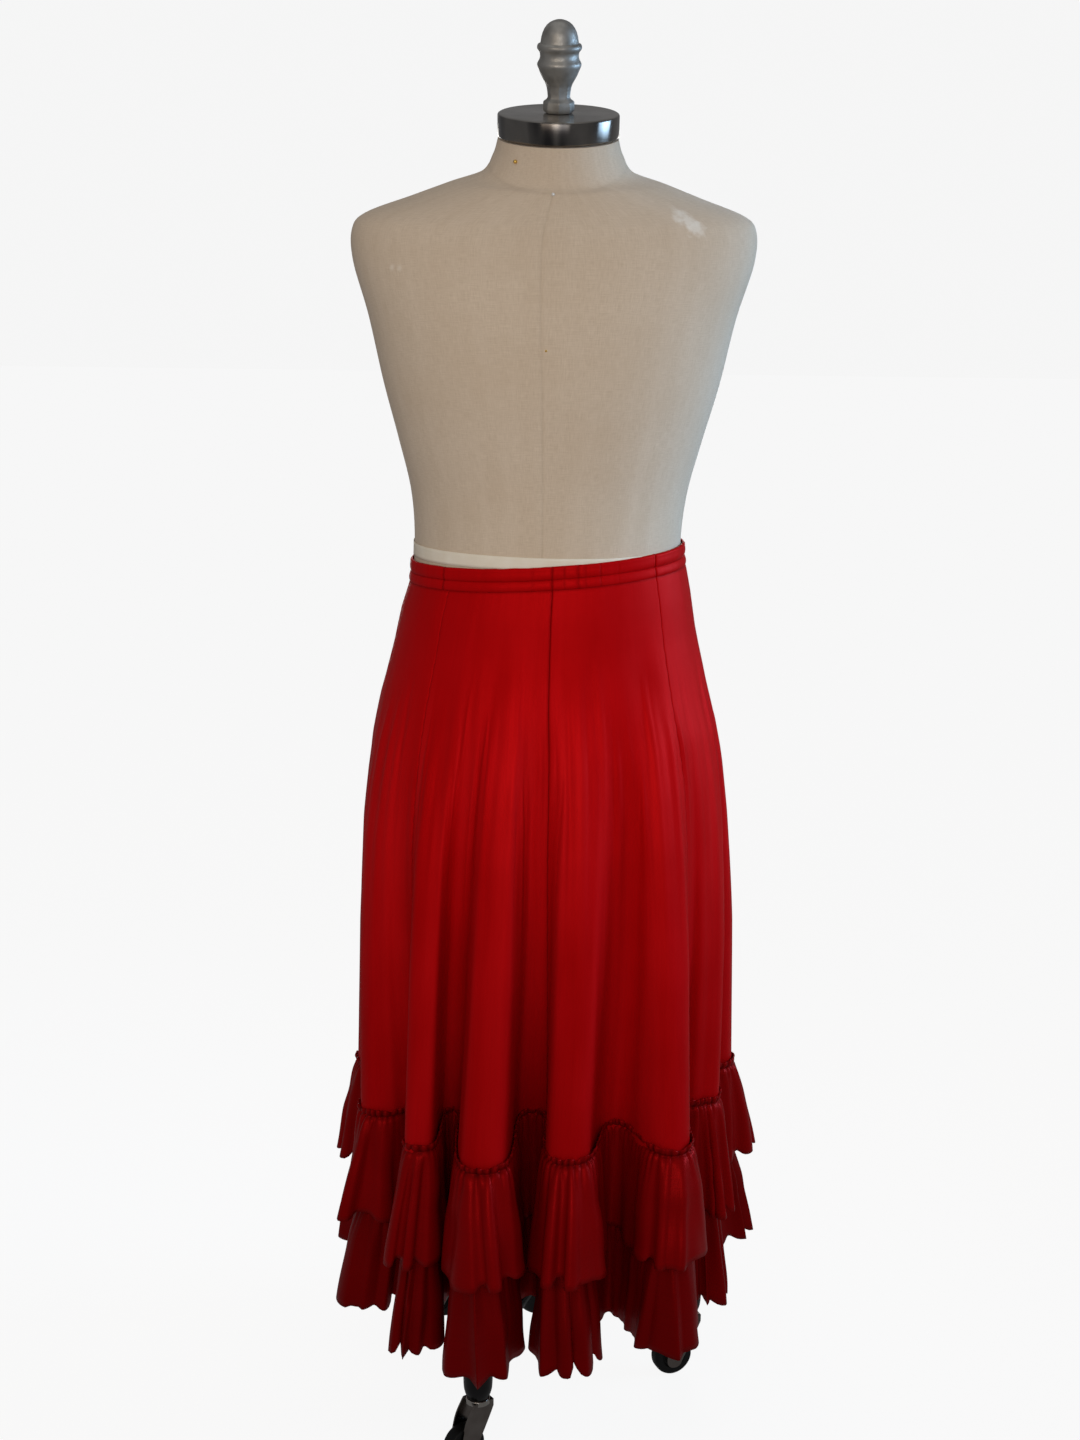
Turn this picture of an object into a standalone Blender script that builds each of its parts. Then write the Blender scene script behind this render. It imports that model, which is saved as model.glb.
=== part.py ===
"""Six-gore flamenco skirt with two gathered ruffles, on a limbless dress form with a wheeled stand.

Row frame: metres, +Z up, the wearer's front along -Y, origin on the floor under the stand's pole.
The cloth hangs from the hips in pipe folds. FOLDS has one row for each of them, in the order that they
stand round the skirt, counter-clockwise from the left side of the front view. Every piece of cloth is a
sheet of points worked out from that table, thickened to a wall.
"""
import math

import bmesh
import bpy
import numpy as np
from mathutils import Matrix, Vector

# Clearances and wall thicknesses
GAP = 0.0003
SEAM_HALF = 0.00025
SATIN = 0.0015
RUFFLE_CLOTH = 0.0012
BAND_CLOTH = 0.0024
TAPE_CLOTH = 0.0008

# Heights on the level skirt, before its right side is pulled up
BAND_TOP_Z = 1.056
BAND_FOOT_Z = 1.026
HEADING_Z = 0.410
FRILL_HEIGHT = 0.008
BODY_HEM_Z = 0.2965
UPPER_DROP = 0.128
LOWER_DROP = 0.124

# Cloth over the hips: height, half width, half depth, how far left its middle lies, and how much
# higher the cloth is for each metre to the right
SECTION_COLUMNS = ("z", "half_width", "half_depth", "left", "rise")
SECTIONS = [
    (1.060, 0.1522, 0.1176, 0.0060, 0.070),
    (1.040, 0.1532, 0.1190, 0.0060, 0.070),
    (1.026, 0.1568, 0.1222, 0.0058, 0.070),
    (1.000, 0.1635, 0.1275, 0.0072, 0.065),
    (0.960, 0.1710, 0.1330, 0.0082, 0.058),
    (0.900, 0.1855, 0.1430, 0.0093, 0.047),
    (0.850, 0.1965, 0.1510, 0.0088, 0.040),
    (0.800, 0.2040, 0.1580, 0.0090, 0.035),
    (0.740, 0.2105, 0.1650, 0.0095, 0.035),
    (0.600, 0.2190, 0.1720, 0.0080, 0.035),
    (0.150, 0.2240, 0.1760, 0.0060, 0.035),
]
HIPS_BACK = -0.012

# One row for each pipe fold: where it starts on the hips, its crest and the valley that follows it on
# the plan at the upper ruffle's seam, the half widths of both, the height where it starts, how far a
# ruffle's hem swings out on it, how far the hem fans off it, and how far the upper ruffle's seam dips
# and the ruffles' hems are lifted on it
FOLD_COLUMNS = ("name", "hip_deg", "crest_x", "crest_y", "crest_half", "valley_x", "valley_y",
                "valley_half", "start_z", "swing_x", "swing_y", "fan", "dip", "lift")
FOLDS = [
    ("left", -152, -0.206, -0.098, 0.020, -0.146, -0.090, 0.010, 0.90, -0.012, -0.008, 0.014, 0.0, 0.018),
    ("front_1", -124, -0.143, -0.196, 0.013, -0.109, -0.095, 0.009, 0.86, -0.013, -0.008, 0.009, 0.0, 0.007),
    ("front_2", -103, -0.070, -0.239, 0.022, -0.014, -0.105, 0.016, 0.93, 0.0, -0.015, 0.018, 0.008, 0.007),
    ("front_3", -78, 0.025, -0.226, 0.020, 0.078, -0.140, 0.013, 0.90, 0.002, -0.025, 0.017, 0.006, 0.007),
    ("front_4", -50, 0.145, -0.203, 0.018, 0.161, -0.090, 0.009, 0.92, 0.000, -0.011, 0.021, 0.008, 0.012),
    ("right_1", -20, 0.198, -0.074, 0.014, 0.172, -0.012, 0.012, 0.88, 0.004, -0.010, 0.011, 0.004, -0.005),
    ("right_2", 8, 0.226, 0.046, 0.022, 0.170, 0.085, 0.012, 0.90, 0.010, 0.011, 0.013, 0.004, 0.013),
    ("back_1", 36, 0.186, 0.155, 0.024, 0.112, 0.122, 0.013, 0.88, 0.018, 0.018, 0.016, 0.006, 0.007),
    ("back_2", 64, 0.096, 0.222, 0.026, 0.044, 0.130, 0.012, 0.92, 0.006, 0.022, 0.017, 0.007, 0.005),
    ("back_3", 93, -0.010, 0.224, 0.024, -0.052, 0.128, 0.013, 0.90, -0.002, 0.024, 0.017, 0.006, 0.008),
    ("back_4", 124, -0.120, 0.204, 0.026, -0.146, 0.105, 0.012, 0.92, -0.012, 0.020, 0.017, 0.007, 0.006),
    ("back_left", 160, -0.228, 0.076, 0.026, -0.172, 0.000, 0.012, 0.89, -0.006, 0.011, 0.013, 0.003, 0.009),
]
FOLD_COUNT = len(FOLDS)
SHOULDER = 0.18
SHOULDER_BACK = 0.45
VALLEY_EDGE = 0.4
VALLEY_BOTTOM = 0.2
FOLD_POWER = 1.35

# Columns of points in one fold, counted from its crest. Each is a wave's top or foot on the ruffles
COLUMN_SHARES = (-0.365, -0.30, -0.235, -0.17, -0.10, -0.035, 0.035, 0.10, 0.17, 0.235, 0.30, 0.365,
                 0.45, 0.55)
SEAM_ROOM = 0.03

# Where the gores' seams meet the hips, counter-clockwise from the left front one
SEAM_DEGREES = (-134.0, -88.0, -40.0, 36.0, 90.0, 146.0)
GORE_NAMES = ("gore_front_left", "gore_front_right", "gore_side_right",
              "gore_back_right", "gore_back_left", "gore_side_left")
GORE_HEIGHTS = (BAND_FOOT_Z - GAP, 0.970, 0.900, 0.820, 0.720, 0.580, 0.410, BODY_HEM_Z)

# Ruffle strips: folds at which each of the four strips of a tier starts. A tier dips at its seam by the
# folds' dips or not at all, and its hem fans a little more half-way between a crest and a valley.
STRIP_STARTS = (0.365, 3.365, 6.365, 9.365)
STRIP_NAMES = ("front", "right", "back", "left")
HEM_CLEAR = 0.002
FAN_POWER = 0.6
FLANK_FAN = 0.004
HEM_WAVE = 0.004
UPPER_TIER = {"name": "upper", "top_z": HEADING_Z, "drop": UPPER_DROP, "stand_off": 0.0024,
              "dips": 1, "phase": 1, "falls": (-FRILL_HEIGHT / UPPER_DROP, 0.0, 0.3, 1.0)}
LOWER_TIER = {"name": "lower", "top_z": BODY_HEM_Z - GAP, "drop": LOWER_DROP, "stand_off": 0.0,
              "dips": 0, "phase": -1, "falls": (0.0, 0.35, 1.0)}

# The form: height, half width, half depth, how far forward and left its middle lies, roundness of the
# outline (2 is an ellipse) and how much the ring leans forward
FORM_COLUMNS = ("z", "half_width", "half_depth", "forward", "left", "roundness", "lean")
FORM = [
    (1.5007, 0.0650, 0.0642, 0.000, 0.0000, 2.0, 0.185),
    (1.4840, 0.0700, 0.0664, 0.000, 0.0000, 2.0, 0.185),
    (1.4640, 0.0830, 0.0700, 0.001, 0.0000, 2.0, 0.185),
    (1.4530, 0.1180, 0.0740, 0.003, 0.0000, 2.0, 0.120),
    (1.4390, 0.1570, 0.0800, 0.004, 0.0010, 2.0, 0.060),
    (1.4210, 0.2050, 0.0880, 0.006, 0.0020, 2.05, 0.020),
    (1.4040, 0.2190, 0.0950, 0.008, 0.0030, 2.2, 0.0),
    (1.3700, 0.2175, 0.1060, 0.010, 0.0035, 2.3, 0.0),
    (1.3130, 0.2005, 0.1180, 0.012, 0.0040, 2.3, 0.0),
    (1.2410, 0.1845, 0.1215, 0.012, 0.0040, 2.2, 0.0),
    (1.1800, 0.1680, 0.1170, 0.012, 0.0045, 2.15, 0.0),
    (1.1200, 0.1535, 0.1130, 0.012, 0.0050, 2.05, 0.0),
    (1.0600, 0.1490, 0.1145, 0.012, 0.0060, 2.0, 0.0),
    (1.0000, 0.1540, 0.1170, 0.012, 0.0060, 2.0, 0.0),
    (0.9400, 0.1640, 0.1210, 0.012, 0.0060, 2.0, 0.0),
    (0.8800, 0.1710, 0.1240, 0.012, 0.0060, 2.0, 0.0),
    (0.8200, 0.1720, 0.1240, 0.012, 0.0060, 2.0, 0.0),
    (0.7850, 0.1660, 0.1190, 0.012, 0.0060, 2.0, 0.0),
    (0.7700, 0.1500, 0.1050, 0.012, 0.0060, 2.0, 0.0),
]
FORM_SEGMENTS = 32
TAPE_TOP_Z = 1.0645
TAPE_FOOT_Z = 1.0500

# Neck cap and finial, both square to the neck, which leans forward
NECK_LEAN = math.radians(10.5)
CAP_FOOT_Z = FORM[0][0] + GAP
CAP_HEIGHT = 0.0260
CAP_RADIUS = 0.0656
CAP_EDGE = 0.0012
CAP_STEPS = 32
FINIAL_STEPS = 16
# Radius and height of the finial's outline, from its dome down
FINIAL = [
    (0.0000, 0.0955), (0.0100, 0.0930), (0.0165, 0.0856), (0.0198, 0.0758), (0.0206, 0.0712),
    (0.0238, 0.0687), (0.0238, 0.0652), (0.0207, 0.0622), (0.0207, 0.0562), (0.0236, 0.0512),
    (0.0232, 0.0474), (0.0193, 0.0408), (0.0150, 0.0324), (0.0130, 0.0264), (0.0120, 0.0165),
    (0.0166, 0.0120), (0.0168, 0.0025), (0.0150, 0.0000), (0.0000, 0.0000),
]

# Stand
POLE_RADIUS = 0.0125
POLE_FOOT_Z = 0.1000
HUB_RADIUS = 0.0300
HUB_TOP_Z = 0.1900
HUB_FOOT_Z = 0.1050
LEG_REACH = 0.1840
LEG_DEGREES = (-114.0, 9.0, 128.5)
ARM_RADIUS = 0.0110
ARM_POINTS = ((0.0220, 0.1480), (0.0700, 0.1500), (0.1250, 0.1420), (0.1840, 0.1230))
# Radius and height of the socket at each leg's end
SOCKET = [(0.0110, 0.1415), (0.0160, 0.1370), (0.0172, 0.1100), (0.0164, 0.0920), (0.0130, 0.0810)]
SOCKET_STEPS = 12
STEM_RADIUS = 0.0055
STEM_TOP_Z = 0.1150
HUB_SHOULDER = 0.0080
HUB_STEPS = 20

# Casters
WHEEL_RADIUS = 0.0250
WHEEL_WIDTH = 0.0180
WHEEL_SIDES = 16
WHEEL_BOSS_RADIUS = 0.0080
TYRE_EDGE = 0.0025
AXLE_RADIUS = 0.0035
AXLE_HEAD = 0.0015
TRAIL = 0.0200
TRAIL_DEGREES = (-144.0, -158.0, 150.0)
FORK_PLATE = 0.0020
FORK_CROWN = 0.0030
FORK_INSIDE = 0.0205
FORK_TOP_Z = 0.0790
FORK_COLLAR_RADIUS = 0.0120
FORK_STOCK = 0.06
# Outline of a fork's plates seen from the side: how far behind the swivel, and height
FORK_SIDE = [(-0.0140, 0.0890), (-0.0140, 0.0700), (0.0080, 0.0240), (0.0130, 0.0140),
             (0.0200, 0.0115), (0.0270, 0.0140), (0.0305, 0.0240), (0.0250, 0.0560),
             (0.0150, 0.0760), (0.0130, 0.0890)]


def row(columns, values):
    """One table row as a dictionary of its named columns."""
    return dict(zip(columns, values))


def table_at(columns, rows, z):
    """A table of heights, highest first, read at one height."""
    heights = [values[0] for values in rows[::-1]]
    read = {}
    for column, name in enumerate(columns):
        read[name] = float(np.interp(z, heights, [values[column] for values in rows[::-1]]))
    return read


# Plan of the folded cloth


def unit(vector):
    return vector / np.linalg.norm(vector)


def fold_axes():
    """Crest, following valley, outward direction and counter-clockwise tangent of each fold."""
    folds = [row(FOLD_COLUMNS, values) for values in FOLDS]
    axes = []
    for index, fold in enumerate(folds):
        before = folds[index - 1]
        crest = np.array([fold["crest_x"], fold["crest_y"]])
        valley = np.array([fold["valley_x"], fold["valley_y"]])
        root = (valley + np.array([before["valley_x"], before["valley_y"]])) / 2
        outward = unit(crest - root)
        tangent = np.array([-outward[1], outward[0]])
        axes.append({**fold, "crest": crest, "valley": valley, "outward": outward, "tangent": tangent})
    return axes


AXES = fold_axes()


def plan_controls():
    """Control points of the closed plan curve, six a fold, and the fold number at each."""
    points = []
    keys = []
    for index, fold in enumerate(AXES):
        following = AXES[(index + 1) % FOLD_COUNT]
        mouth = unit((fold["crest"] + following["crest"]) / 2 - fold["valley"])
        across = np.array([-mouth[1], mouth[0]])
        half = fold["crest_half"]
        narrow = fold["valley_half"]
        points += [
            fold["crest"] - fold["tangent"] * half - fold["outward"] * SHOULDER_BACK * half,
            fold["crest"],
            fold["crest"] + fold["tangent"] * half - fold["outward"] * SHOULDER_BACK * half,
            fold["valley"] - across * narrow + mouth * VALLEY_EDGE * narrow,
            fold["valley"] - mouth * VALLEY_BOTTOM * narrow,
            fold["valley"] + across * narrow + mouth * VALLEY_EDGE * narrow,
        ]
        keys += [index - SHOULDER, index, index + SHOULDER, index + 0.40, index + 0.5, index + 0.60]
    return np.array(points), np.array(keys)


CONTROLS, CONTROL_KEYS = plan_controls()


def plan(fold_number):
    """Point on the plan curve at the upper ruffle's seam: a centripetal Catmull-Rom curve."""
    number = (fold_number + SHOULDER) % FOLD_COUNT - SHOULDER
    index = int(np.searchsorted(CONTROL_KEYS, number, side="right") - 1)
    count = len(CONTROLS)
    start = CONTROL_KEYS[index]
    end = CONTROL_KEYS[index + 1] if index + 1 < count else CONTROL_KEYS[0] + FOLD_COUNT
    p0, p1, p2, p3 = (CONTROLS[(index + step) % count] for step in (-1, 0, 1, 2))
    t0 = 0.0
    t1 = t0 + math.sqrt(np.linalg.norm(p1 - p0))
    t2 = t1 + math.sqrt(np.linalg.norm(p2 - p1))
    t3 = t2 + math.sqrt(np.linalg.norm(p3 - p2))
    t = t1 + (t2 - t1) * (number - start) / (end - start)
    a1 = (p0 * (t1 - t) + p1 * (t - t0)) / (t1 - t0)
    a2 = (p1 * (t2 - t) + p2 * (t - t1)) / (t2 - t1)
    a3 = (p2 * (t3 - t) + p3 * (t - t2)) / (t3 - t2)
    b1 = (a1 * (t2 - t) + a2 * (t - t0)) / (t2 - t0)
    b2 = (a2 * (t3 - t) + a3 * (t - t1)) / (t3 - t1)
    return (b1 * (t2 - t) + b2 * (t - t1)) / (t2 - t1)


def along_folds(column, fold_number):
    """A table column read between the crests."""
    number = fold_number % FOLD_COUNT
    low = int(number)
    share = number - low
    this = AXES[low][column]
    following = AXES[(low + 1) % FOLD_COUNT][column]
    if column == "hip_deg" and following < this:
        following += 360
    return this * (1 - share) + following * share


def section(z):
    """The cloth's section over the hips at a height of the level skirt."""
    return table_at(SECTION_COLUMNS, SECTIONS, z)


def fold_weight(fold_number, z):
    """0 where the cloth lies smooth on the hips, 1 at the upper ruffle's seam."""
    start = along_folds("start_z", fold_number)
    share = (start - z) / (start - HEADING_Z)
    if share <= 0:
        return 0.0
    if share < 1:
        return share ** FOLD_POWER
    return 1 + 0.3 * (min(share, 1.25) - 1)


def hip_point(degrees, z):
    hips = section(z)
    angle = math.radians(degrees)
    return np.array([
        hips["half_width"] * math.cos(angle) - hips["left"],
        hips["half_depth"] * math.sin(angle) + HIPS_BACK,
    ])


def body_plan(fold_number, z):
    """The skirt's middle surface, seen from above, at one height."""
    weight = fold_weight(fold_number, z)
    smooth = hip_point(along_folds("hip_deg", fold_number), z)
    return smooth * (1 - weight) + plan(fold_number) * weight


def outward_normal(fold_number, z):
    step = 0.004
    run = body_plan(fold_number + step, z) - body_plan(fold_number - step, z)
    return unit(np.array([run[1], -run[0]]))


def pulled_up(point, z):
    """The right side of the skirt sits higher than its left."""
    return (point[0], point[1], z + section(z)["rise"] * point[0])


def body_point(fold_number, z, along=0.0):
    """A point of the body's middle surface, or one a short way along the cloth from it."""
    here = body_plan(fold_number, z)
    normal = outward_normal(fold_number, z)
    return pulled_up(here + np.array([-normal[1], normal[0]]) * along, z)


def fold_at_hip(degrees):
    """Fold number of the line that leaves the hips at an angle."""
    numbers = np.arange(0, FOLD_COUNT + 1)
    angles = [AXES[number % FOLD_COUNT]["hip_deg"] + 360 * (number // FOLD_COUNT) for number in numbers]
    start = angles[0]
    return float(np.interp((degrees - start) % 360 + start, angles, numbers))


def near(number, others, room):
    """Whether a fold number lies within a room of any of the others."""
    return any(abs(number - other) < room for other in others)


def body_columns(start, end):
    """Fold numbers of the body's columns of points between two of them, the gores' seams among them."""
    plain = [index + share for index in range(FOLD_COUNT) for share in COLUMN_SHARES]
    once = [number for number in plain if not near(number, SEAM_NUMBERS, SEAM_ROOM)] + SEAM_NUMBERS
    twice = once + [number + FOLD_COUNT for number in once]
    return sorted(number for number in twice if start + SEAM_ROOM < number < end - SEAM_ROOM)


SEAM_NUMBERS = [fold_at_hip(degrees) for degrees in SEAM_DEGREES]


# Ruffles


def crestness(fold_number):
    """1 on a crest, 0 in a valley."""
    share = fold_number - math.floor(fold_number + 0.5)
    return math.cos(math.pi * share) ** 2


def wave_at(fold_number):
    """1 on a wave's top, -1 at its foot: the columns of a fold are these by turns."""
    share = fold_number - math.floor(fold_number + 0.5)
    shares = [COLUMN_SHARES[-1] - 1] + list(COLUMN_SHARES)
    signs = [1 if index % 2 else -1 for index in range(len(shares))]
    return float(np.interp(share, shares, signs))


def ruffle_point(fold_number, fall, tier, along=0.0):
    """A point of a ruffle, with fall 0 at its seam, 1 at its hem and below 0 on the frill over the seam."""
    hang = max(fall, 0.0)
    crest = crestness(fold_number)
    fold = AXES[math.floor(fold_number + 0.5) % FOLD_COUNT]
    z = tier["top_z"] - tier["drop"] * fall - tier["dips"] * fold["dip"] * crest * (1 - hang)
    here = body_plan(fold_number, z)
    normal = outward_normal(fold_number, z)
    tangent = np.array([-normal[1], normal[0]])
    fan = fold["fan"] * crest ** 2 + FLANK_FAN * 4 * crest * (1 - crest)
    wave = HEM_WAVE * crest ** 0.8 * (1 + tier["phase"] * wave_at(fold_number))
    swing = np.array([fold["swing_x"], fold["swing_y"]]) * crest * hang
    swing = swing - normal * min(swing @ normal, 0.0)
    off = tier["stand_off"] + HEM_CLEAR * abs(fall) + (fan + wave) * hang ** FAN_POWER
    place = here + normal * off + tangent * along + swing
    return (place[0], place[1], z + section(z)["rise"] * place[0] + fold["lift"] * crest * hang)


# Blender pieces


def clear_scene():
    for item in list(bpy.data.objects):
        bpy.data.objects.remove(item, do_unlink=True)


def new_collection(name):
    collection = bpy.data.collections.new(name)
    bpy.context.scene.collection.children.link(collection)
    return collection


def principled(name, colour, roughness, metallic=0.0):
    material = bpy.data.materials.new(name)
    material.use_nodes = True
    shader = material.node_tree.nodes["Principled BSDF"]
    shader.inputs["Base Color"].default_value = (*colour, 1.0)
    shader.inputs["Roughness"].default_value = roughness
    shader.inputs["Metallic"].default_value = metallic
    return material


def add_object(name, data, collection, material=None):
    item = bpy.data.objects.new(name, data)
    collection.objects.link(item)
    if material is not None:
        data.materials.append(material)
    return item


def sheet(name, grid, thickness, collection, material, closed=False):
    """Cloth: rows of points from top to bottom, thickened half to each side."""
    rows = len(grid)
    columns = len(grid[0])
    points = [point for line in grid for point in line]
    faces = []
    spans = columns if closed else columns - 1
    for line in range(rows - 1):
        for column in range(spans):
            after = (column + 1) % columns
            top = line * columns
            foot = (line + 1) * columns
            faces.append((top + column, foot + column, foot + after, top + after))
    mesh = bpy.data.meshes.new(name)
    mesh.from_pydata(points, [], faces)
    mesh.update()
    mesh.shade_smooth()
    item = add_object(name, mesh, collection, material)
    wall = item.modifiers.new("wall", "SOLIDIFY")
    wall.thickness = thickness
    wall.offset = 0.0
    wall.use_even_offset = True
    wall.use_rim = True
    return item


def loft(name, rings, collection, material):
    """A closed solid through rings of equal count, from top to bottom."""
    count = len(rings[0])
    points = [point for ring in rings for point in ring]
    faces = [tuple(range(count))]
    for line in range(len(rings) - 1):
        for column in range(count):
            after = (column + 1) % count
            top = line * count
            foot = top + count
            faces.append((top + column, foot + column, foot + after, top + after))
    last = (len(rings) - 1) * count
    faces.append(tuple(last + column for column in reversed(range(count))))
    mesh = bpy.data.meshes.new(name)
    mesh.from_pydata(points, [], faces)
    mesh.update()
    mesh.shade_smooth()
    mesh.set_sharp_from_angle(angle=math.radians(50))
    return add_object(name, mesh, collection, material)


def turned(name, profile, steps, collection, material, closed=False):
    """A turned piece: (radius, height) points from top to bottom on its outer side, turned about Z."""
    points = [(radius, 0.0, height) for radius, height in profile]
    edges = [(index, index + 1) for index in range(len(points) - 1)]
    if closed:
        edges.append((len(points) - 1, 0))
    mesh = bpy.data.meshes.new(name)
    mesh.from_pydata(points, edges, [])
    item = add_object(name, mesh, collection, material)
    screw = item.modifiers.new("turn", "SCREW")
    screw.angle = math.tau
    screw.steps = steps
    screw.render_steps = steps
    screw.use_merge_vertices = True
    screw.merge_threshold = 0.00001
    screw.use_smooth_shade = True
    return item


def evaluated_mesh(item):
    """Replace an object's mesh with the one that its modifiers give."""
    bpy.context.view_layer.update()
    graph = bpy.context.evaluated_depsgraph_get()
    mesh = bpy.data.meshes.new_from_object(item.evaluated_get(graph))
    item.modifiers.clear()
    item.data = mesh
    return item


def cut(item, tool, operation):
    """Cut or join an object with another, which is used up."""
    modifier = item.modifiers.new("cut", "BOOLEAN")
    modifier.object = tool
    modifier.operation = operation
    modifier.solver = "EXACT"
    evaluated_mesh(item)
    bpy.data.objects.remove(tool, do_unlink=True)
    return item


def from_curve(name, curve, collection, material):
    """A closed mesh object from a curve."""
    shape = bpy.data.objects.new(name, curve)
    collection.objects.link(shape)
    bpy.context.view_layer.update()
    graph = bpy.context.evaluated_depsgraph_get()
    mesh = bpy.data.meshes.new_from_object(shape.evaluated_get(graph))
    bpy.data.objects.remove(shape, do_unlink=True)
    welded = bmesh.new()
    welded.from_mesh(mesh)
    bmesh.ops.remove_doubles(welded, verts=welded.verts, dist=0.00001)
    bmesh.ops.recalc_face_normals(welded, faces=welded.faces)
    welded.to_mesh(mesh)
    welded.free()
    return add_object(name, mesh, collection, material)


def cylinder(name, radius, low, high, sides, collection, material=None):
    mesh = bpy.data.meshes.new(name)
    shape = bmesh.new()
    bmesh.ops.create_cone(shape, cap_ends=True, segments=sides, radius1=radius, radius2=radius,
                          depth=high - low)
    bmesh.ops.translate(shape, verts=shape.verts, vec=(0, 0, (low + high) / 2))
    shape.to_mesh(mesh)
    shape.free()
    return add_object(name, mesh, collection, material)


def prism(name, outline, half, collection, material=None):
    """A flat outline in XY, extruded along Z to each side."""
    curve = bpy.data.curves.new(name, "CURVE")
    curve.dimensions = "2D"
    curve.fill_mode = "BOTH"
    curve.extrude = half
    spline = curve.splines.new("POLY")
    spline.points.add(len(outline) - 1)
    for point, (x, y) in zip(spline.points, outline):
        point.co = (x, y, 0.0, 1.0)
    spline.use_cyclic_u = True
    return from_curve(name, curve, collection, material)


def baked(item, matrix):
    """Move an object's points and leave its origin where it is."""
    item.data.transform(matrix)
    item.data.update()
    return item


def smoothed(item, degrees):
    """Shade smooth, with edges sharper than an angle kept."""
    item.data.shade_smooth()
    item.data.set_sharp_from_angle(angle=math.radians(degrees))
    return item


# The skirt


def waistband(collection, material):
    """Elastic casing: one tube of cloth, a little puffed at its middle."""
    rows = ((BAND_TOP_Z, -0.0004), (1.0410, 0.0004), (BAND_FOOT_Z + GAP / 2, 0.0))
    columns = FORM_SEGMENTS
    grid = []
    for z, puff in rows:
        line = []
        for column in range(columns):
            degrees = 360 * column / columns
            point = hip_point(degrees, z)
            normal = unit(hip_point(degrees + 1, z) - hip_point(degrees - 1, z))
            point = point + np.array([normal[1], -normal[0]]) * puff
            line.append(pulled_up(point, z))
        grid.append(line)
    sheet("waistband", grid, BAND_CLOTH, collection, material, closed=True)


def gores(collection, material):
    """Six panels, each from its seam to the next."""
    for index, name in enumerate(GORE_NAMES):
        start = SEAM_NUMBERS[index]
        end = SEAM_NUMBERS[(index + 1) % len(SEAM_NUMBERS)]
        if end < start:
            end += FOLD_COUNT
        inside = body_columns(start, end)
        grid = []
        for z in GORE_HEIGHTS:
            line = [body_point(start, z, SEAM_HALF)]
            line += [body_point(number, z) for number in inside]
            line += [body_point(end, z, -SEAM_HALF)]
            grid.append(line)
        sheet(name, grid, SATIN, collection, material)


def ruffles(tier, collection, material):
    """Four gathered strips, sewn end to end round the skirt."""
    for index, side in enumerate(STRIP_NAMES):
        start = STRIP_STARTS[index]
        end = STRIP_STARTS[(index + 1) % len(STRIP_STARTS)]
        if end <= start:
            end += FOLD_COUNT
        numbers = [start] + body_columns(start, end) + [end]
        moved = [SEAM_HALF] + [0.0] * (len(numbers) - 2) + [-SEAM_HALF]
        grid = [[ruffle_point(number, fall, tier, along) for number, along in zip(numbers, moved)]
                for fall in tier["falls"]]
        sheet(f"{tier['name']}_ruffle_{side}", grid, RUFFLE_CLOTH, collection, material)


# The dress form


def form_ring(z, grow=0.0):
    """Outline of the form at a height, as points, grown outwards by a cloth or a tape."""
    outline = table_at(FORM_COLUMNS, FORM, z)
    power = 2 / outline["roundness"]
    ring = []
    for step in range(FORM_SEGMENTS):
        angle = math.tau * step / FORM_SEGMENTS
        cosine, sine = math.cos(angle), math.sin(angle)
        x = (outline["half_width"] + grow) * math.copysign(abs(cosine) ** power, cosine)
        y = (outline["half_depth"] + grow) * math.copysign(abs(sine) ** power, sine)
        ring.append((x - outline["left"], y - outline["forward"], z + outline["lean"] * y))
    return ring


def dress_form(collection, linen, cotton, steel, cast):
    loft("form", [form_ring(values[0]) for values in FORM], collection, linen)
    middle = GAP + TAPE_CLOTH / 2
    tape = [form_ring(z, middle) for z in (TAPE_TOP_Z, TAPE_FOOT_Z)]
    sheet("waist_tape", tape, TAPE_CLOTH, collection, cotton, closed=True)

    lean = Matrix.Rotation(NECK_LEAN, 4, "X")
    cap_profile = [
        (0.0, CAP_HEIGHT),
        (CAP_RADIUS - CAP_EDGE, CAP_HEIGHT),
        (CAP_RADIUS, CAP_HEIGHT - CAP_EDGE),
        (CAP_RADIUS, CAP_EDGE),
        (CAP_RADIUS - CAP_EDGE, 0.0),
        (0.0, 0.0),
    ]
    cap = turned("neck_cap", cap_profile, CAP_STEPS, collection, steel)
    cap.matrix_world = Matrix.Translation((0, 0, CAP_FOOT_Z)) @ lean
    finial = turned("finial", FINIAL, FINIAL_STEPS, collection, cast)
    seat = lean @ Vector((0, 0, CAP_HEIGHT + GAP))
    finial.matrix_world = Matrix.Translation(Vector((0, 0, CAP_FOOT_Z)) + seat) @ lean


# The stand


def leg_place(index):
    angle = math.radians(LEG_DEGREES[index])
    return Vector((LEG_REACH * math.cos(angle), LEG_REACH * math.sin(angle), 0.0))


def arm_mesh(name, collection, material):
    """The leg's arm along +X, a smooth bent bar."""
    curve = bpy.data.curves.new(name, "CURVE")
    curve.dimensions = "3D"
    curve.bevel_depth = ARM_RADIUS
    curve.bevel_resolution = 1
    curve.use_fill_caps = True
    curve.resolution_u = 3
    spline = curve.splines.new("NURBS")
    spline.points.add(len(ARM_POINTS) - 1)
    for point, (x, z) in zip(spline.points, ARM_POINTS):
        point.co = (x, 0.0, z, 1.0)
    spline.use_endpoint_u = True
    spline.order_u = 3
    return from_curve(name, curve, collection, material)


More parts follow.
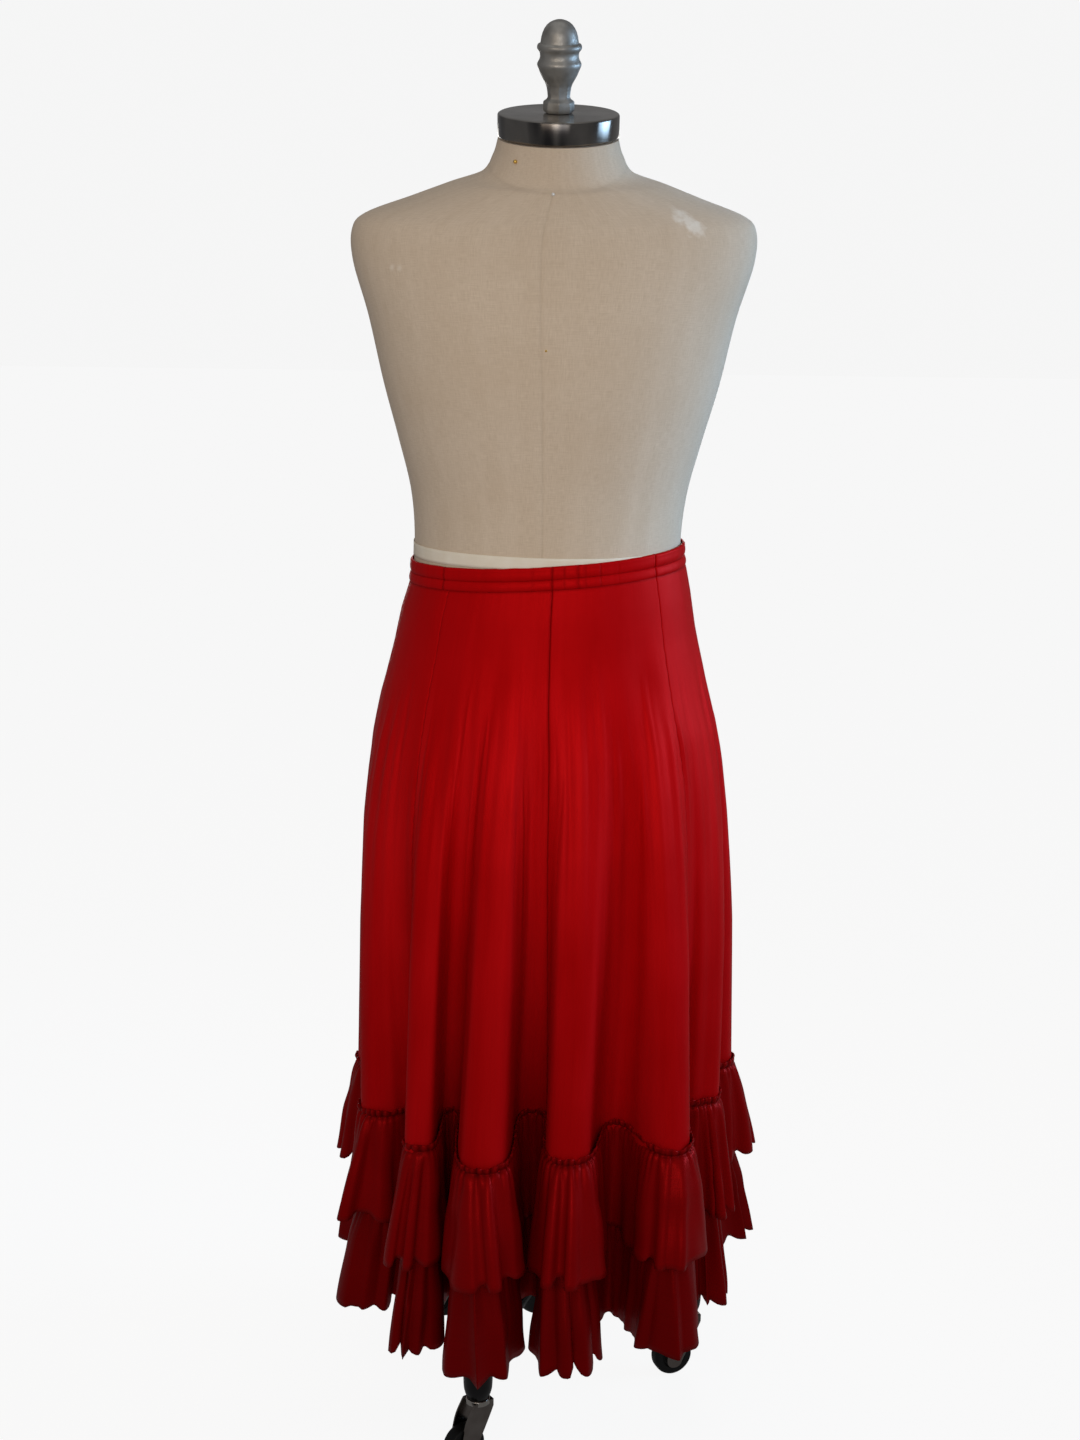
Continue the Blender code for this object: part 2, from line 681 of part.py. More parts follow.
def stand(collection, tools, black):
    pole = cylinder("pole", POLE_RADIUS, POLE_FOOT_Z, FORM[-1][0] - GAP, 24, collection, black)
    smoothed(pole, 40)

    hub_profile = [
        (POLE_RADIUS + GAP, HUB_TOP_Z),
        (HUB_RADIUS - HUB_SHOULDER, HUB_TOP_Z),
        (HUB_RADIUS, HUB_TOP_Z - 1.5 * HUB_SHOULDER),
        (HUB_RADIUS, HUB_FOOT_Z + HUB_SHOULDER / 2),
        (HUB_RADIUS - HUB_SHOULDER / 2, HUB_FOOT_Z),
        (POLE_RADIUS + GAP, HUB_FOOT_Z),
    ]
    turned("hub", hub_profile, HUB_STEPS, collection, black, closed=True)

    to_socket = Matrix.Translation((LEG_REACH, 0, 0))
    for index in range(3):
        leg = arm_mesh(f"leg_{index + 1}", collection, black)
        clearance = cylinder("hub_clearance", HUB_RADIUS + GAP, POLE_FOOT_Z, HUB_TOP_Z, 32, tools)
        cut(leg, clearance, "DIFFERENCE")
        profile = [(0.0, SOCKET[0][1])] + SOCKET + [(0.0, SOCKET[-1][1])]
        socket = evaluated_mesh(turned("socket", profile, SOCKET_STEPS, tools, black))
        cut(leg, baked(socket, to_socket), "UNION")
        bore = cylinder("bore", STEM_RADIUS + GAP, SOCKET[-1][1] - 0.01, STEM_TOP_Z + GAP, 12, tools)
        cut(leg, baked(bore, to_socket), "DIFFERENCE")
        smoothed(leg, 40)
        leg.rotation_euler.z = math.radians(LEG_DEGREES[index])


def fork_mesh(name, collection, tools, material):
    """A caster's fork with its stem and axle. The wheel trails along +X and its axle lies along Y."""
    outer = FORK_INSIDE / 2 + FORK_PLATE
    inner = FORK_INSIDE / 2
    crown = FORK_TOP_Z - FORK_CROWN
    bridge = [(-outer, 0.0), (-outer, FORK_TOP_Z), (outer, FORK_TOP_Z), (outer, 0.0),
              (inner, 0.0), (inner, crown), (-inner, crown), (-inner, 0.0)]
    fork = prism(name, bridge, FORK_STOCK, collection, material)
    baked(fork, Matrix(((0, 0, 1, 0), (1, 0, 0, 0), (0, 1, 0, 0), (0, 0, 0, 1))))
    side = prism("fork_side", FORK_SIDE, FORK_STOCK, tools)
    baked(side, Matrix(((1, 0, 0, 0), (0, 0, -1, 0), (0, 1, 0, 0), (0, 0, 0, 1))))
    cut(fork, side, "INTERSECT")
    axle_end = outer + AXLE_HEAD
    axle = cylinder("axle", AXLE_RADIUS, -axle_end, axle_end, 12, tools)
    baked(axle, Matrix.Translation((TRAIL, 0, WHEEL_RADIUS)) @ Matrix.Rotation(math.pi / 2, 4, "X"))
    cut(fork, axle, "UNION")
    stem = cylinder("stem", STEM_RADIUS, FORK_TOP_Z - FORK_PLATE, STEM_TOP_Z, 12, tools)
    cut(fork, stem, "UNION")
    collar = cylinder("collar", FORK_COLLAR_RADIUS, FORK_TOP_Z - FORK_PLATE / 2, SOCKET[-1][1] - GAP,
                      16, tools)
    cut(fork, collar, "UNION")
    return smoothed(fork, 35)


def wheel(name, collection, material):
    """A tyred wheel about its own axle, with a flat foot on each of its facets."""
    reach = WHEEL_RADIUS / math.cos(math.pi / WHEEL_SIDES)
    half = WHEEL_WIDTH / 2
    boss_half = FORK_INSIDE / 2 - GAP
    half_profile = [
        (AXLE_RADIUS + GAP, boss_half),
        (WHEEL_BOSS_RADIUS, boss_half),
        (WHEEL_BOSS_RADIUS + AXLE_HEAD, half),
        (reach - TYRE_EDGE, half),
        (reach, half - TYRE_EDGE),
    ]
    profile = half_profile + [(radius, -height) for radius, height in half_profile[::-1]]
    item = evaluated_mesh(turned(name, profile, WHEEL_SIDES, collection, material, closed=True))
    half_facet = math.pi / WHEEL_SIDES
    baked(item, Matrix.Rotation(math.pi / 2, 4, "X") @ Matrix.Rotation(half_facet, 4, "Z"))
    return smoothed(item, 35)


def casters(collection, tools, steel, rubber):
    for index in range(3):
        number = index + 1
        swivel = bpy.data.objects.new(f"swivel_axis_{number}", None)
        collection.objects.link(swivel)
        swivel.location = leg_place(index)
        swivel.rotation_euler.z = math.radians(TRAIL_DEGREES[index])
        fork = fork_mesh(f"fork_{number}", collection, tools, steel)
        fork.parent = swivel
        roller = wheel(f"wheel_{number}", collection, rubber)
        roller.parent = swivel
        roller.location = (TRAIL, 0, WHEEL_RADIUS)


def main():
    clear_scene()
    parts = new_collection("flamenco_skirt_on_dress_form")
    tools = new_collection("cutters")
    satin = principled("red_satin", (0.42, 0.004, 0.012), 0.38)
    linen = principled("linen", (0.50, 0.42, 0.31), 0.85)
    cotton = principled("cream_tape", (0.72, 0.66, 0.54), 0.80)
    steel = principled("steel", (0.42, 0.40, 0.39), 0.25, 1.0)
    cast = principled("cast_alloy", (0.33, 0.34, 0.35), 0.42, 1.0)
    black = principled("black_iron", (0.015, 0.014, 0.014), 0.45)
    rubber = principled("black_rubber", (0.012, 0.012, 0.012), 0.6)
    waistband(parts, satin)
    gores(parts, satin)
    ruffles(UPPER_TIER, parts, satin)
    ruffles(LOWER_TIER, parts, satin)
    dress_form(parts, linen, cotton, steel, cast)
    stand(parts, tools, black)
    casters(parts, tools, steel, rubber)


main()
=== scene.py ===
import math

import bmesh
import bpy
import numpy as np
from mathutils import Matrix, Vector
from mathutils.bvhtree import BVHTree


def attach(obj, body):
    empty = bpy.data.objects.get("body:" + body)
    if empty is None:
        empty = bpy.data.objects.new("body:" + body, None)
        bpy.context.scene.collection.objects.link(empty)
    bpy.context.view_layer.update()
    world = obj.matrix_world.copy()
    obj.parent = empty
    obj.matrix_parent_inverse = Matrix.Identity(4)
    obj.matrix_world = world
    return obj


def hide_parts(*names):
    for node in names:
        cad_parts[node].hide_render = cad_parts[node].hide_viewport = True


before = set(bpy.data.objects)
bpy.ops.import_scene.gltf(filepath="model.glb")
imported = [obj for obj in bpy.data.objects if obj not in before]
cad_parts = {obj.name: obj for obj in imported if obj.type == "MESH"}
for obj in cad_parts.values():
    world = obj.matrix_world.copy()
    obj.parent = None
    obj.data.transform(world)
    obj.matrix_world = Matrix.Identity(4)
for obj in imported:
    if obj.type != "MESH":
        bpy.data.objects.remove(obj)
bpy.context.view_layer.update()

STAND = "stand"

# Heights on the level skirt, before its right side is pulled up
BAND_TOP_Z = 1.056
BAND_SEAM_Z = 1.0312
HEADING_Z = 0.410
FRILL_HEIGHT = 0.008
BODY_HEM_Z = 0.2965
UPPER_DROP = 0.128
LOWER_DROP = 0.124
HIPS_BACK = -0.012

# Cloth thicknesses
SATIN = 0.0007
TAPE_CLOTH = 0.0006

# Cloth over the hips: height, half width, half depth, how far left its middle lies, and how much
# higher the cloth is for each metre to the right
SECTION_COLUMNS = ("z", "half_width", "half_depth", "left", "rise")
SECTIONS = [
    (1.060, 0.1522, 0.1176, 0.0060, 0.070),
    (1.040, 0.1532, 0.1190, 0.0060, 0.070),
    (1.026, 0.1568, 0.1222, 0.0058, 0.070),
    (1.000, 0.1635, 0.1275, 0.0072, 0.065),
    (0.960, 0.1710, 0.1330, 0.0082, 0.058),
    (0.900, 0.1855, 0.1430, 0.0093, 0.047),
    (0.850, 0.1965, 0.1510, 0.0088, 0.040),
    (0.800, 0.2040, 0.1580, 0.0090, 0.035),
    (0.740, 0.2105, 0.1650, 0.0095, 0.035),
    (0.600, 0.2190, 0.1720, 0.0080, 0.035),
    (0.150, 0.2240, 0.1760, 0.0060, 0.035),
]

# One row for each pipe fold: where it starts on the hips, its crest and the valley that follows it on
# the plan at the upper ruffle's seam, the half widths of both, the height where it starts, how far a
# ruffle's hem swings out on it, how far the hem fans off it, and how far the upper ruffle's seam dips
# and the ruffles' hems are lifted on it
FOLD_COLUMNS = ("name", "hip_deg", "crest_x", "crest_y", "crest_half", "valley_x", "valley_y",
                "valley_half", "start_z", "swing_x", "swing_y", "fan", "dip", "lift")
FOLDS = [
    ("left", -152, -0.206, -0.098, 0.020, -0.146, -0.090, 0.010, 0.90, -0.012, -0.008, 0.014, 0.0, 0.018),
    ("front_1", -124, -0.143, -0.196, 0.013, -0.109, -0.095, 0.009, 0.86, -0.013, -0.008, 0.009, 0.0, 0.007),
    ("front_2", -103, -0.070, -0.239, 0.022, -0.014, -0.105, 0.016, 0.93, 0.0, -0.015, 0.018, 0.008, 0.007),
    ("front_3", -78, 0.025, -0.226, 0.020, 0.078, -0.140, 0.013, 0.90, 0.002, -0.025, 0.017, 0.006, 0.007),
    ("front_4", -50, 0.145, -0.203, 0.018, 0.161, -0.090, 0.009, 0.92, 0.000, -0.011, 0.021, 0.008, 0.012),
    ("right_1", -20, 0.198, -0.074, 0.014, 0.172, -0.012, 0.012, 0.88, 0.004, -0.010, 0.011, 0.004, -0.005),
    ("right_2", 8, 0.226, 0.046, 0.022, 0.170, 0.085, 0.012, 0.90, 0.010, 0.011, 0.013, 0.004, 0.013),
    ("back_1", 36, 0.186, 0.155, 0.024, 0.112, 0.122, 0.013, 0.88, 0.018, 0.018, 0.016, 0.006, 0.007),
    ("back_2", 64, 0.096, 0.222, 0.026, 0.044, 0.130, 0.012, 0.92, 0.006, 0.022, 0.017, 0.007, 0.005),
    ("back_3", 93, -0.010, 0.224, 0.024, -0.052, 0.128, 0.013, 0.90, -0.002, 0.024, 0.017, 0.006, 0.008),
    ("back_4", 124, -0.120, 0.204, 0.026, -0.146, 0.105, 0.012, 0.92, -0.012, 0.020, 0.017, 0.007, 0.006),
    ("back_left", 160, -0.228, 0.076, 0.026, -0.172, 0.000, 0.012, 0.89, -0.006, 0.011, 0.013, 0.003, 0.009),
]
FOLD_COUNT = len(FOLDS)
SHOULDER = 0.18
SHOULDER_BACK = 0.45
VALLEY_EDGE = 0.4
VALLEY_BOTTOM = 0.2
FOLD_POWER = 1.35
NORMAL_STEP = 0.004

# Fold numbers of the ruffles' waves, top and foot by turns, counted from each crest
WAVE_SHARES = (-0.365, -0.30, -0.235, -0.17, -0.10, -0.035, 0.035, 0.10, 0.17, 0.235, 0.30, 0.365,
               0.45, 0.55)
WAVE_JITTER = 0.014
WAVE_HEIGHTS = (0.05, 1.45)
WAVE_TILT = 0.055

SEAM_DEGREES = (-134.0, -88.0, -40.0, 36.0, 90.0, 146.0)
GORE_NAMES = ("gore_front_left", "gore_front_right", "gore_side_right",
              "gore_back_right", "gore_back_left", "gore_side_left")
STRIP_STARTS = (0.365, 3.365, 6.365, 9.365)
STRIP_NAMES = ("front", "right", "back", "left")
HEM_CLEAR = 0.002
FAN_POWER = 0.6
FLANK_FAN = 0.004
HEM_WAVE = 0.004
UPPER_TIER = {"name": "upper", "top_z": HEADING_Z, "drop": UPPER_DROP, "stand_off": 0.0024,
              "dips": 1, "phase": 1, "seed": 11, "frill": FRILL_HEIGHT / UPPER_DROP, "notch": 0.003}
LOWER_TIER = {"name": "lower", "top_z": BODY_HEM_Z - 0.0003, "drop": LOWER_DROP, "stand_off": 0.0,
              "dips": 0, "phase": -1, "seed": 29, "frill": 0.0, "notch": 0.010}

# Spacing of the shells' points along the cloth
GORE_SPACING = 0.0044
SEAM_STEPS = (0.0008, 0.0017, 0.0030)
GORE_ROWS = 100
RUFFLE_SPACING = 0.0014
RUFFLE_ROWS = 26
FRILL_ROWS = 5

# Pointed beginnings of the small folds below the hips
FLAME_COUNT = 88
FLAME_TIP = 0.885
FLAME_SPREAD = 0.055
FLAME_HEIGHT = 0.0030
FLAME_REACH = 0.22
FLAME_SHIFT = 0.35

# The body's other folds: depth, cells round the skirt, cells a metre up it, and seed
SMALL_FOLDS = (0.0015, 84, 2.2, 7)
FINE_FOLDS = (0.0007, 230, 4.0, 8)
BROAD_FOLDS = (0.0018, 40, 3.0, 9)
# Where the small and the fine folds begin, how far that wavers, and the height over which they deepen
FOLDS_FROM = 0.915
FOLDS_WAVER = 0.055
FOLDS_DEEPEN = 0.07

# Gathers under the casing: depth and reach. Puckers on the gores' seams: depth, reach in fold numbers,
# and how fast they follow each other, in radians a metre
BAND_GATHERS = 0.0008
GATHERS_REACH = 0.10
SEAM_PUCKER = 0.0006
PUCKER_REACH = 0.05
PUCKER_RATE = 480

# The gores' seams: width and depth of the groove, how far in the cloth is tucked under the casing, and
# how far from a seam the evenly spaced columns begin
SEAM_WIDTH = 0.0040
SEAM_DEPTH = 0.0017
TUCK_DEPTH = 0.0014
SEAM_CLEAR = 0.0045

# Gathers at the ruffles' seams, and the folds that they open into towards the hems
GATHER = 0.0076
GATHER_DEPTH = 0.0030
PLEAT_DEPTH = 0.0022
SEAM_GROOVE = 0.0014
WAVE_GAIN = 1.6
WAVE_VALLEY = 0.0010
WAVE_ROUND = 0.40
WAVE_LEAN = 0.55
HEM_POINTS = 0.0060
HEM_UNEVEN = 0.0042
RUMPLE = 0.0020
FRILL_OUT = 0.0019
FRILL_UP = 0.0022
# Shares of a ruffle's fall over which its gathers fade out, its pleats fade out and the groove of its seam
# ends, and the same for the strip along the seam darkened by thread and painted shade
GATHER_FADE = 0.16
PLEAT_FADE = 0.26
GROOVE_FADE = 0.022
SEAM_STRIP = 0.016

# The form: height, half width, half depth, how far forward and left its middle lies, roundness of the
# outline (2 is an ellipse) and how much the ring leans forward
FORM = [
    (1.5007, 0.0650, 0.0642, 0.000, 0.0000, 2.0, 0.185),
    (1.4840, 0.0700, 0.0664, 0.000, 0.0000, 2.0, 0.185),
    (1.4640, 0.0830, 0.0700, 0.001, 0.0000, 2.0, 0.185),
    (1.4530, 0.1180, 0.0740, 0.003, 0.0000, 2.0, 0.120),
    (1.4390, 0.1570, 0.0800, 0.004, 0.0010, 2.0, 0.060),
    (1.4210, 0.2050, 0.0880, 0.006, 0.0020, 2.05, 0.020),
    (1.4040, 0.2190, 0.0950, 0.008, 0.0030, 2.2, 0.0),
    (1.3700, 0.2175, 0.1060, 0.010, 0.0035, 2.3, 0.0),
    (1.3130, 0.2005, 0.1180, 0.012, 0.0040, 2.3, 0.0),
    (1.2410, 0.1845, 0.1215, 0.012, 0.0040, 2.2, 0.0),
    (1.1800, 0.1680, 0.1170, 0.012, 0.0045, 2.15, 0.0),
    (1.1200, 0.1535, 0.1130, 0.012, 0.0050, 2.05, 0.0),
    (1.0600, 0.1490, 0.1145, 0.012, 0.0060, 2.0, 0.0),
    (1.0000, 0.1540, 0.1170, 0.012, 0.0060, 2.0, 0.0),
    (0.9400, 0.1640, 0.1210, 0.012, 0.0060, 2.0, 0.0),
    (0.8800, 0.1710, 0.1240, 0.012, 0.0060, 2.0, 0.0),
    (0.8200, 0.1720, 0.1240, 0.012, 0.0060, 2.0, 0.0),
    (0.7850, 0.1660, 0.1190, 0.012, 0.0060, 2.0, 0.0),
    (0.7700, 0.1500, 0.1050, 0.012, 0.0060, 2.0, 0.0),
]
FORM_SEGMENTS = 160
FORM_ROWS_A_RING = 9

# Turned and flat metal is given in millimetres
MM = 0.001

# Camera: it stands before the form at head height, tips down and is a little rolled
CAMERA_PLACE = (-0.012, -2.345, 1.460)
CAMERA_PITCH = math.radians(14.5)
CAMERA_ROLL = math.radians(0.7)
CAMERA_LENS = 35.0
CAMERA_SENSOR = 24.0


# Smooth random values


NOISE_ROWS = 64


def eased(share):
    return share * share * (3 - 2 * share)


def smooth_step(low, high, value):
    return eased(np.clip((value - low) / (high - low), 0, 1))


def noise_line(x, period, seed):
    """Smooth values from -1 to 1 along a line, repeating after a whole number of steps."""
    values = np.random.RandomState(seed).uniform(-1, 1, period)
    low = np.floor(x).astype(int)
    share = eased(x - low)
    return values[low % period] * (1 - share) + values[(low + 1) % period] * share


def noise_field(x, y, period, seed):
    """Smooth values from -1 to 1 on a plane, repeating along x."""
    values = np.random.RandomState(seed).uniform(-1, 1, (period, NOISE_ROWS))
    left = np.floor(x).astype(int)
    low = np.floor(y).astype(int)
    across = eased(x - left)
    up = eased(y - low)
    lower, upper = (values[left % period, row % NOISE_ROWS] * (1 - across)
                    + values[(left + 1) % period, row % NOISE_ROWS] * across for row in (low, low + 1))
    return lower * (1 - up) + upper * up


# Plan of the folded cloth


def unit(vectors):
    return vectors / np.linalg.norm(vectors, axis=-1, keepdims=True)


def fold_axes():
    """Crest, following valley, outward direction and counter-clockwise tangent of each fold."""
    folds = [dict(zip(FOLD_COLUMNS, values)) for values in FOLDS]
    axes = []
    for index, fold in enumerate(folds):
        before = folds[index - 1]
        crest = np.array([fold["crest_x"], fold["crest_y"]])
        valley = np.array([fold["valley_x"], fold["valley_y"]])
        root = (valley + np.array([before["valley_x"], before["valley_y"]])) / 2
        outward = unit(crest - root)
        tangent = np.array([-outward[1], outward[0]])
        axes.append({**fold, "crest": crest, "valley": valley, "outward": outward, "tangent": tangent})
    return axes


AXES = fold_axes()


def plan_controls():
    """Control points of the closed plan curve, six a fold, and the fold number at each."""
    points = []
    keys = []
    for index, fold in enumerate(AXES):
        following = AXES[(index + 1) % FOLD_COUNT]
        mouth = unit((fold["crest"] + following["crest"]) / 2 - fold["valley"])
        across = np.array([-mouth[1], mouth[0]])
        half = fold["crest_half"]
        narrow = fold["valley_half"]
        points += [
            fold["crest"] - fold["tangent"] * half - fold["outward"] * SHOULDER_BACK * half,
            fold["crest"],
            fold["crest"] + fold["tangent"] * half - fold["outward"] * SHOULDER_BACK * half,
            fold["valley"] - across * narrow + mouth * VALLEY_EDGE * narrow,
            fold["valley"] - mouth * VALLEY_BOTTOM * narrow,
            fold["valley"] + across * narrow + mouth * VALLEY_EDGE * narrow,
        ]
        keys += [index - SHOULDER, index, index + SHOULDER, index + 0.40, index + 0.5, index + 0.60]
    return np.array(points), np.array(keys)


CONTROLS, KEYS = plan_controls()
KEYS_AFTER = np.append(KEYS[1:], KEYS[0] + FOLD_COUNT)


def plan(numbers):
    """Points of the plan curve at the upper ruffle's seam: a centripetal Catmull-Rom curve."""
    wrapped = (numbers + SHOULDER) % FOLD_COUNT - SHOULDER
    index = np.searchsorted(KEYS, wrapped, side="right") - 1
    share = ((wrapped - KEYS[index]) / (KEYS_AFTER[index] - KEYS[index]))[:, None]
    p0, p1, p2, p3 = (CONTROLS[(index + step) % len(CONTROLS)] for step in (-1, 0, 1, 2))
    gap1, gap2, gap3 = (np.sqrt(np.linalg.norm(b - a, axis=1))[:, None]
                        for a, b in ((p0, p1), (p1, p2), (p2, p3)))
    t1, t2, t3 = gap1, gap1 + gap2, gap1 + gap2 + gap3
    t = t1 + (t2 - t1) * share
    a1 = (p0 * (t1 - t) + p1 * t) / t1
    a2 = (p1 * (t2 - t) + p2 * (t - t1)) / (t2 - t1)
    a3 = (p2 * (t3 - t) + p3 * (t - t2)) / (t3 - t2)
    b1 = (a1 * (t2 - t) + a2 * t) / t2
    b2 = (a2 * (t3 - t) + a3 * (t - t1)) / (t3 - t1)
    return (b1 * (t2 - t) + b2 * (t - t1)) / (t2 - t1)


def table_at(columns, rows, z):
    """A table of heights, highest first, read at one height or several."""
    heights = [values[0] for values in rows[::-1]]
    return {name: np.interp(z, heights, [values[column] for values in rows[::-1]])
            for column, name in enumerate(columns)}


HIP_DEGREES = [fold["hip_deg"] for fold in AXES] + [AXES[0]["hip_deg"] + 360]
START_HEIGHTS = [fold["start_z"] for fold in AXES] + [AXES[0]["start_z"]]


def columns_at(numbers):
    """What columns of the cloth have at every height, and the same a small step to each side of them."""
    shared = {}
    for side, step in (("here", 0.0), ("after", NORMAL_STEP), ("before", -NORMAL_STEP)):
        moved = numbers + step
        place = moved % FOLD_COUNT
        shared[side] = {
            "plan": plan(moved),
            "hip": np.radians(np.interp(place, range(FOLD_COUNT + 1), HIP_DEGREES)),
            "start": np.interp(place, range(FOLD_COUNT + 1), START_HEIGHTS),
        }
    return shared


def fold_weight(start, z):
    """0 where the cloth lies smooth on the hips, 1 at the upper ruffle's seam."""
    share = (start - z) / (start - HEADING_Z)
    inside = np.clip(share, 0, 1) ** FOLD_POWER
    return np.where(share < 1, inside, 1 + 0.3 * (np.minimum(share, 1.25) - 1))


def body_plan(columns, z):
    """The skirt's middle surface, seen from above, at one height."""
    hips = table_at(SECTION_COLUMNS, SECTIONS, z)
    weight = fold_weight(columns["start"], z)[:, None]
    smooth = np.stack([
        hips["half_width"] * np.cos(columns["hip"]) - hips["left"],
        hips["half_depth"] * np.sin(columns["hip"]) + HIPS_BACK,
    ], axis=1)
    return smooth * (1 - weight) + columns["plan"] * weight


def body_frame(shared, z):
    """Places, outward normals and tangents of the cloth's middle surface at one height."""
    here = body_plan(shared["here"], z)
    tangent = unit(body_plan(shared["after"], z) - body_plan(shared["before"], z))
    return here, np.stack([tangent[:, 1], -tangent[:, 0]], axis=1), tangent


def raised(places, z):
    """Points at a height of the level skirt, raised as its right side is pulled up."""
    rise = table_at(SECTION_COLUMNS, SECTIONS, z)["rise"]
    return np.column_stack([places, z + rise * places[:, 0]])


ARC_NUMBERS = np.linspace(0, FOLD_COUNT, 600 * FOLD_COUNT + 1)
ARC_STEPS = np.linalg.norm(np.diff(plan(ARC_NUMBERS), axis=0), axis=1)
ARC = np.concatenate([[0.0], np.cumsum(ARC_STEPS)])
ROUND = ARC[-1]


def arc_at(numbers):
    """Length along the upper ruffle's seam from the first crest, in metres."""
    return np.interp(numbers % FOLD_COUNT, ARC_NUMBERS, ARC) + ROUND * np.floor(numbers / FOLD_COUNT)


def numbers_at(lengths):
    """Fold numbers at lengths along the upper ruffle's seam."""
    around = np.floor(lengths / ROUND)
    return np.interp(lengths - around * ROUND, ARC, ARC_NUMBERS) + around * FOLD_COUNT


def numbers_between(start, end, spacing):
    """Fold numbers spaced evenly along the cloth."""
    low, high = arc_at(np.array([start, end]))
    return numbers_at(np.linspace(low, high, int(math.ceil((high - low) / spacing)) + 1))


def spans(starts):
    """Each of the starts with the one that follows it round the skirt."""
    for start, end in zip(starts, starts[1:] + starts[:1]):
        yield start, end if end > start else end + FOLD_COUNT


def fold_at_hip(degrees):
    """Fold number of the line that leaves the hips at an angle."""
    turned = (degrees - HIP_DEGREES[0]) % 360 + HIP_DEGREES[0]
    return float(np.interp(turned, HIP_DEGREES, range(FOLD_COUNT + 1)))


SEAM_NUMBERS = [fold_at_hip(degrees) for degrees in SEAM_DEGREES]


def crestness(numbers):
    """1 on a crest, 0 in a valley."""
    return np.cos(math.pi * (numbers - np.floor(numbers + 0.5))) ** 2


# Meshes


def lay_texture(mesh, uvs, columns, closed):
    """Texture coordinates of a grid; on a closed one they run on over the closing column."""
    layer = mesh.uv_layers.new(name="cloth")
    loops = np.empty(len(mesh.loops), dtype=np.int32)
    mesh.loops.foreach_get("vertex_index", loops)
    values = uvs[loops]
    if closed:
        step = uvs[1, 0] - uvs[0, 0]
        quads = (len(uvs) // columns - 1) * columns
        corner = np.arange(len(loops))
        closing = (loops % columns == 0) & (corner < 4 * quads) & (corner // 4 % columns == columns - 1)
        values[closing, 0] = uvs[columns - 1, 0] + step
    layer.data.foreach_set("uv", values.astype(np.float32).ravel())


def mark_creases(mesh, crease):
    """Store a mask at each point that a material darkens by: on cloth its stitching and the painted shade of
    its creases, on the linen its seams, and on the cap the rim that gets painted reflection bands.
    """
    layer = mesh.attributes.new("crease", "FLOAT", "POINT")
    layer.data.foreach_set("value", np.asarray(crease).astype(np.float32).ravel())


def placed(name, data):
    """A new object in the scene."""
    item = bpy.data.objects.new(name, data)
    bpy.context.scene.collection.objects.link(item)
    return item


def mesh_object(name, points, faces, material, uvs=None, columns=0, closed=False, smooth=True):
    mesh = bpy.data.meshes.new(name)
    mesh.from_pydata(np.asarray(points).tolist(), [], faces)
    mesh.update()
    if uvs is not None:
        lay_texture(mesh, uvs, columns, closed)
    if smooth:
        mesh.shade_smooth()
    mesh.materials.append(material)
    return placed(name, mesh)


def grid_faces(rows, columns, closed=False):
    """Quads of a grid whose rows go from top to foot."""
    line = np.arange(columns if closed else columns - 1)
    after = (line + 1) % columns
    faces = []
    for row in range(rows - 1):
        top, foot = row * columns, (row + 1) * columns
        faces.append(np.stack([top + line, foot + line, foot + after, top + after], axis=1))
    return np.concatenate(faces)


def tube_faces(rows, columns, ring=False):
    """Quads of a closed grid, with a face over each end or, on a ring, joined end to end."""
    count = rows * columns
    faces = (grid_faces(rows + ring, columns, closed=True) % count).tolist()
    if not ring:
        faces += [list(range(columns)), list(range(count - 1, count - 1 - columns, -1))]
    return faces


def cloth(name, grid, uvs, thickness, material, closed=False, crease=None):
    """A thin shell of cloth on a grid of points, rows by columns, darker where it is stitched and with
    painted shade where it is creased.
    """
    rows, columns = grid.shape[:2]
    item = mesh_object(name, grid.reshape(-1, 3), grid_faces(rows, columns, closed).tolist(), material,
                       uvs.reshape(-1, 2), columns, closed)
    if crease is not None:
        mark_creases(item.data, crease)
    shell = item.modifiers.new("shell", "SOLIDIFY")
    shell.thickness = thickness
    shell.offset = 0.0
    shell.use_rim = True
    return item


def finish_piece(item, body, slot, *nodes):
    """Ride on a body and stand for CAD nodes; the slot is not used."""
    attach(item, body)
    if nodes:
        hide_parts(*nodes)
    return item


# Materials


# Satin's colours, each a share of the whole depth of colour: its dyes and thread, a painted sheen for the lit
# streaks, painted shade over the hips, and dark red for stitching and painted shade in creases
SATIN_DYES_AND_PAINTED_LIGHT = {
    "pale": (0.62, 0.0032, 0.0054), "deep": (0.54, 0.0019, 0.0032), "thread": (0.445, 0.0015, 0.0027),
    "stitching_and_painted_shade": (0.13, 0.0008, 0.0013), "painted_sheen": (0.82, 0.0100, 0.0130), "hips": (0.33, 0.0016, 0.0026),
}
SATIN_TINT = (1.0, 0.20, 0.18)
STREAK_SCALE = (17.0, 1.9, 1.0)
# Heights between which the painted sheen streaks begin, and between which the painted shade over the hips
# fades in
SHEEN_STREAKS_FROM = (0.94, 0.84)
HIP_SHADE_FROM = (0.90, 1.00)
SPOT_CORE = 0.35


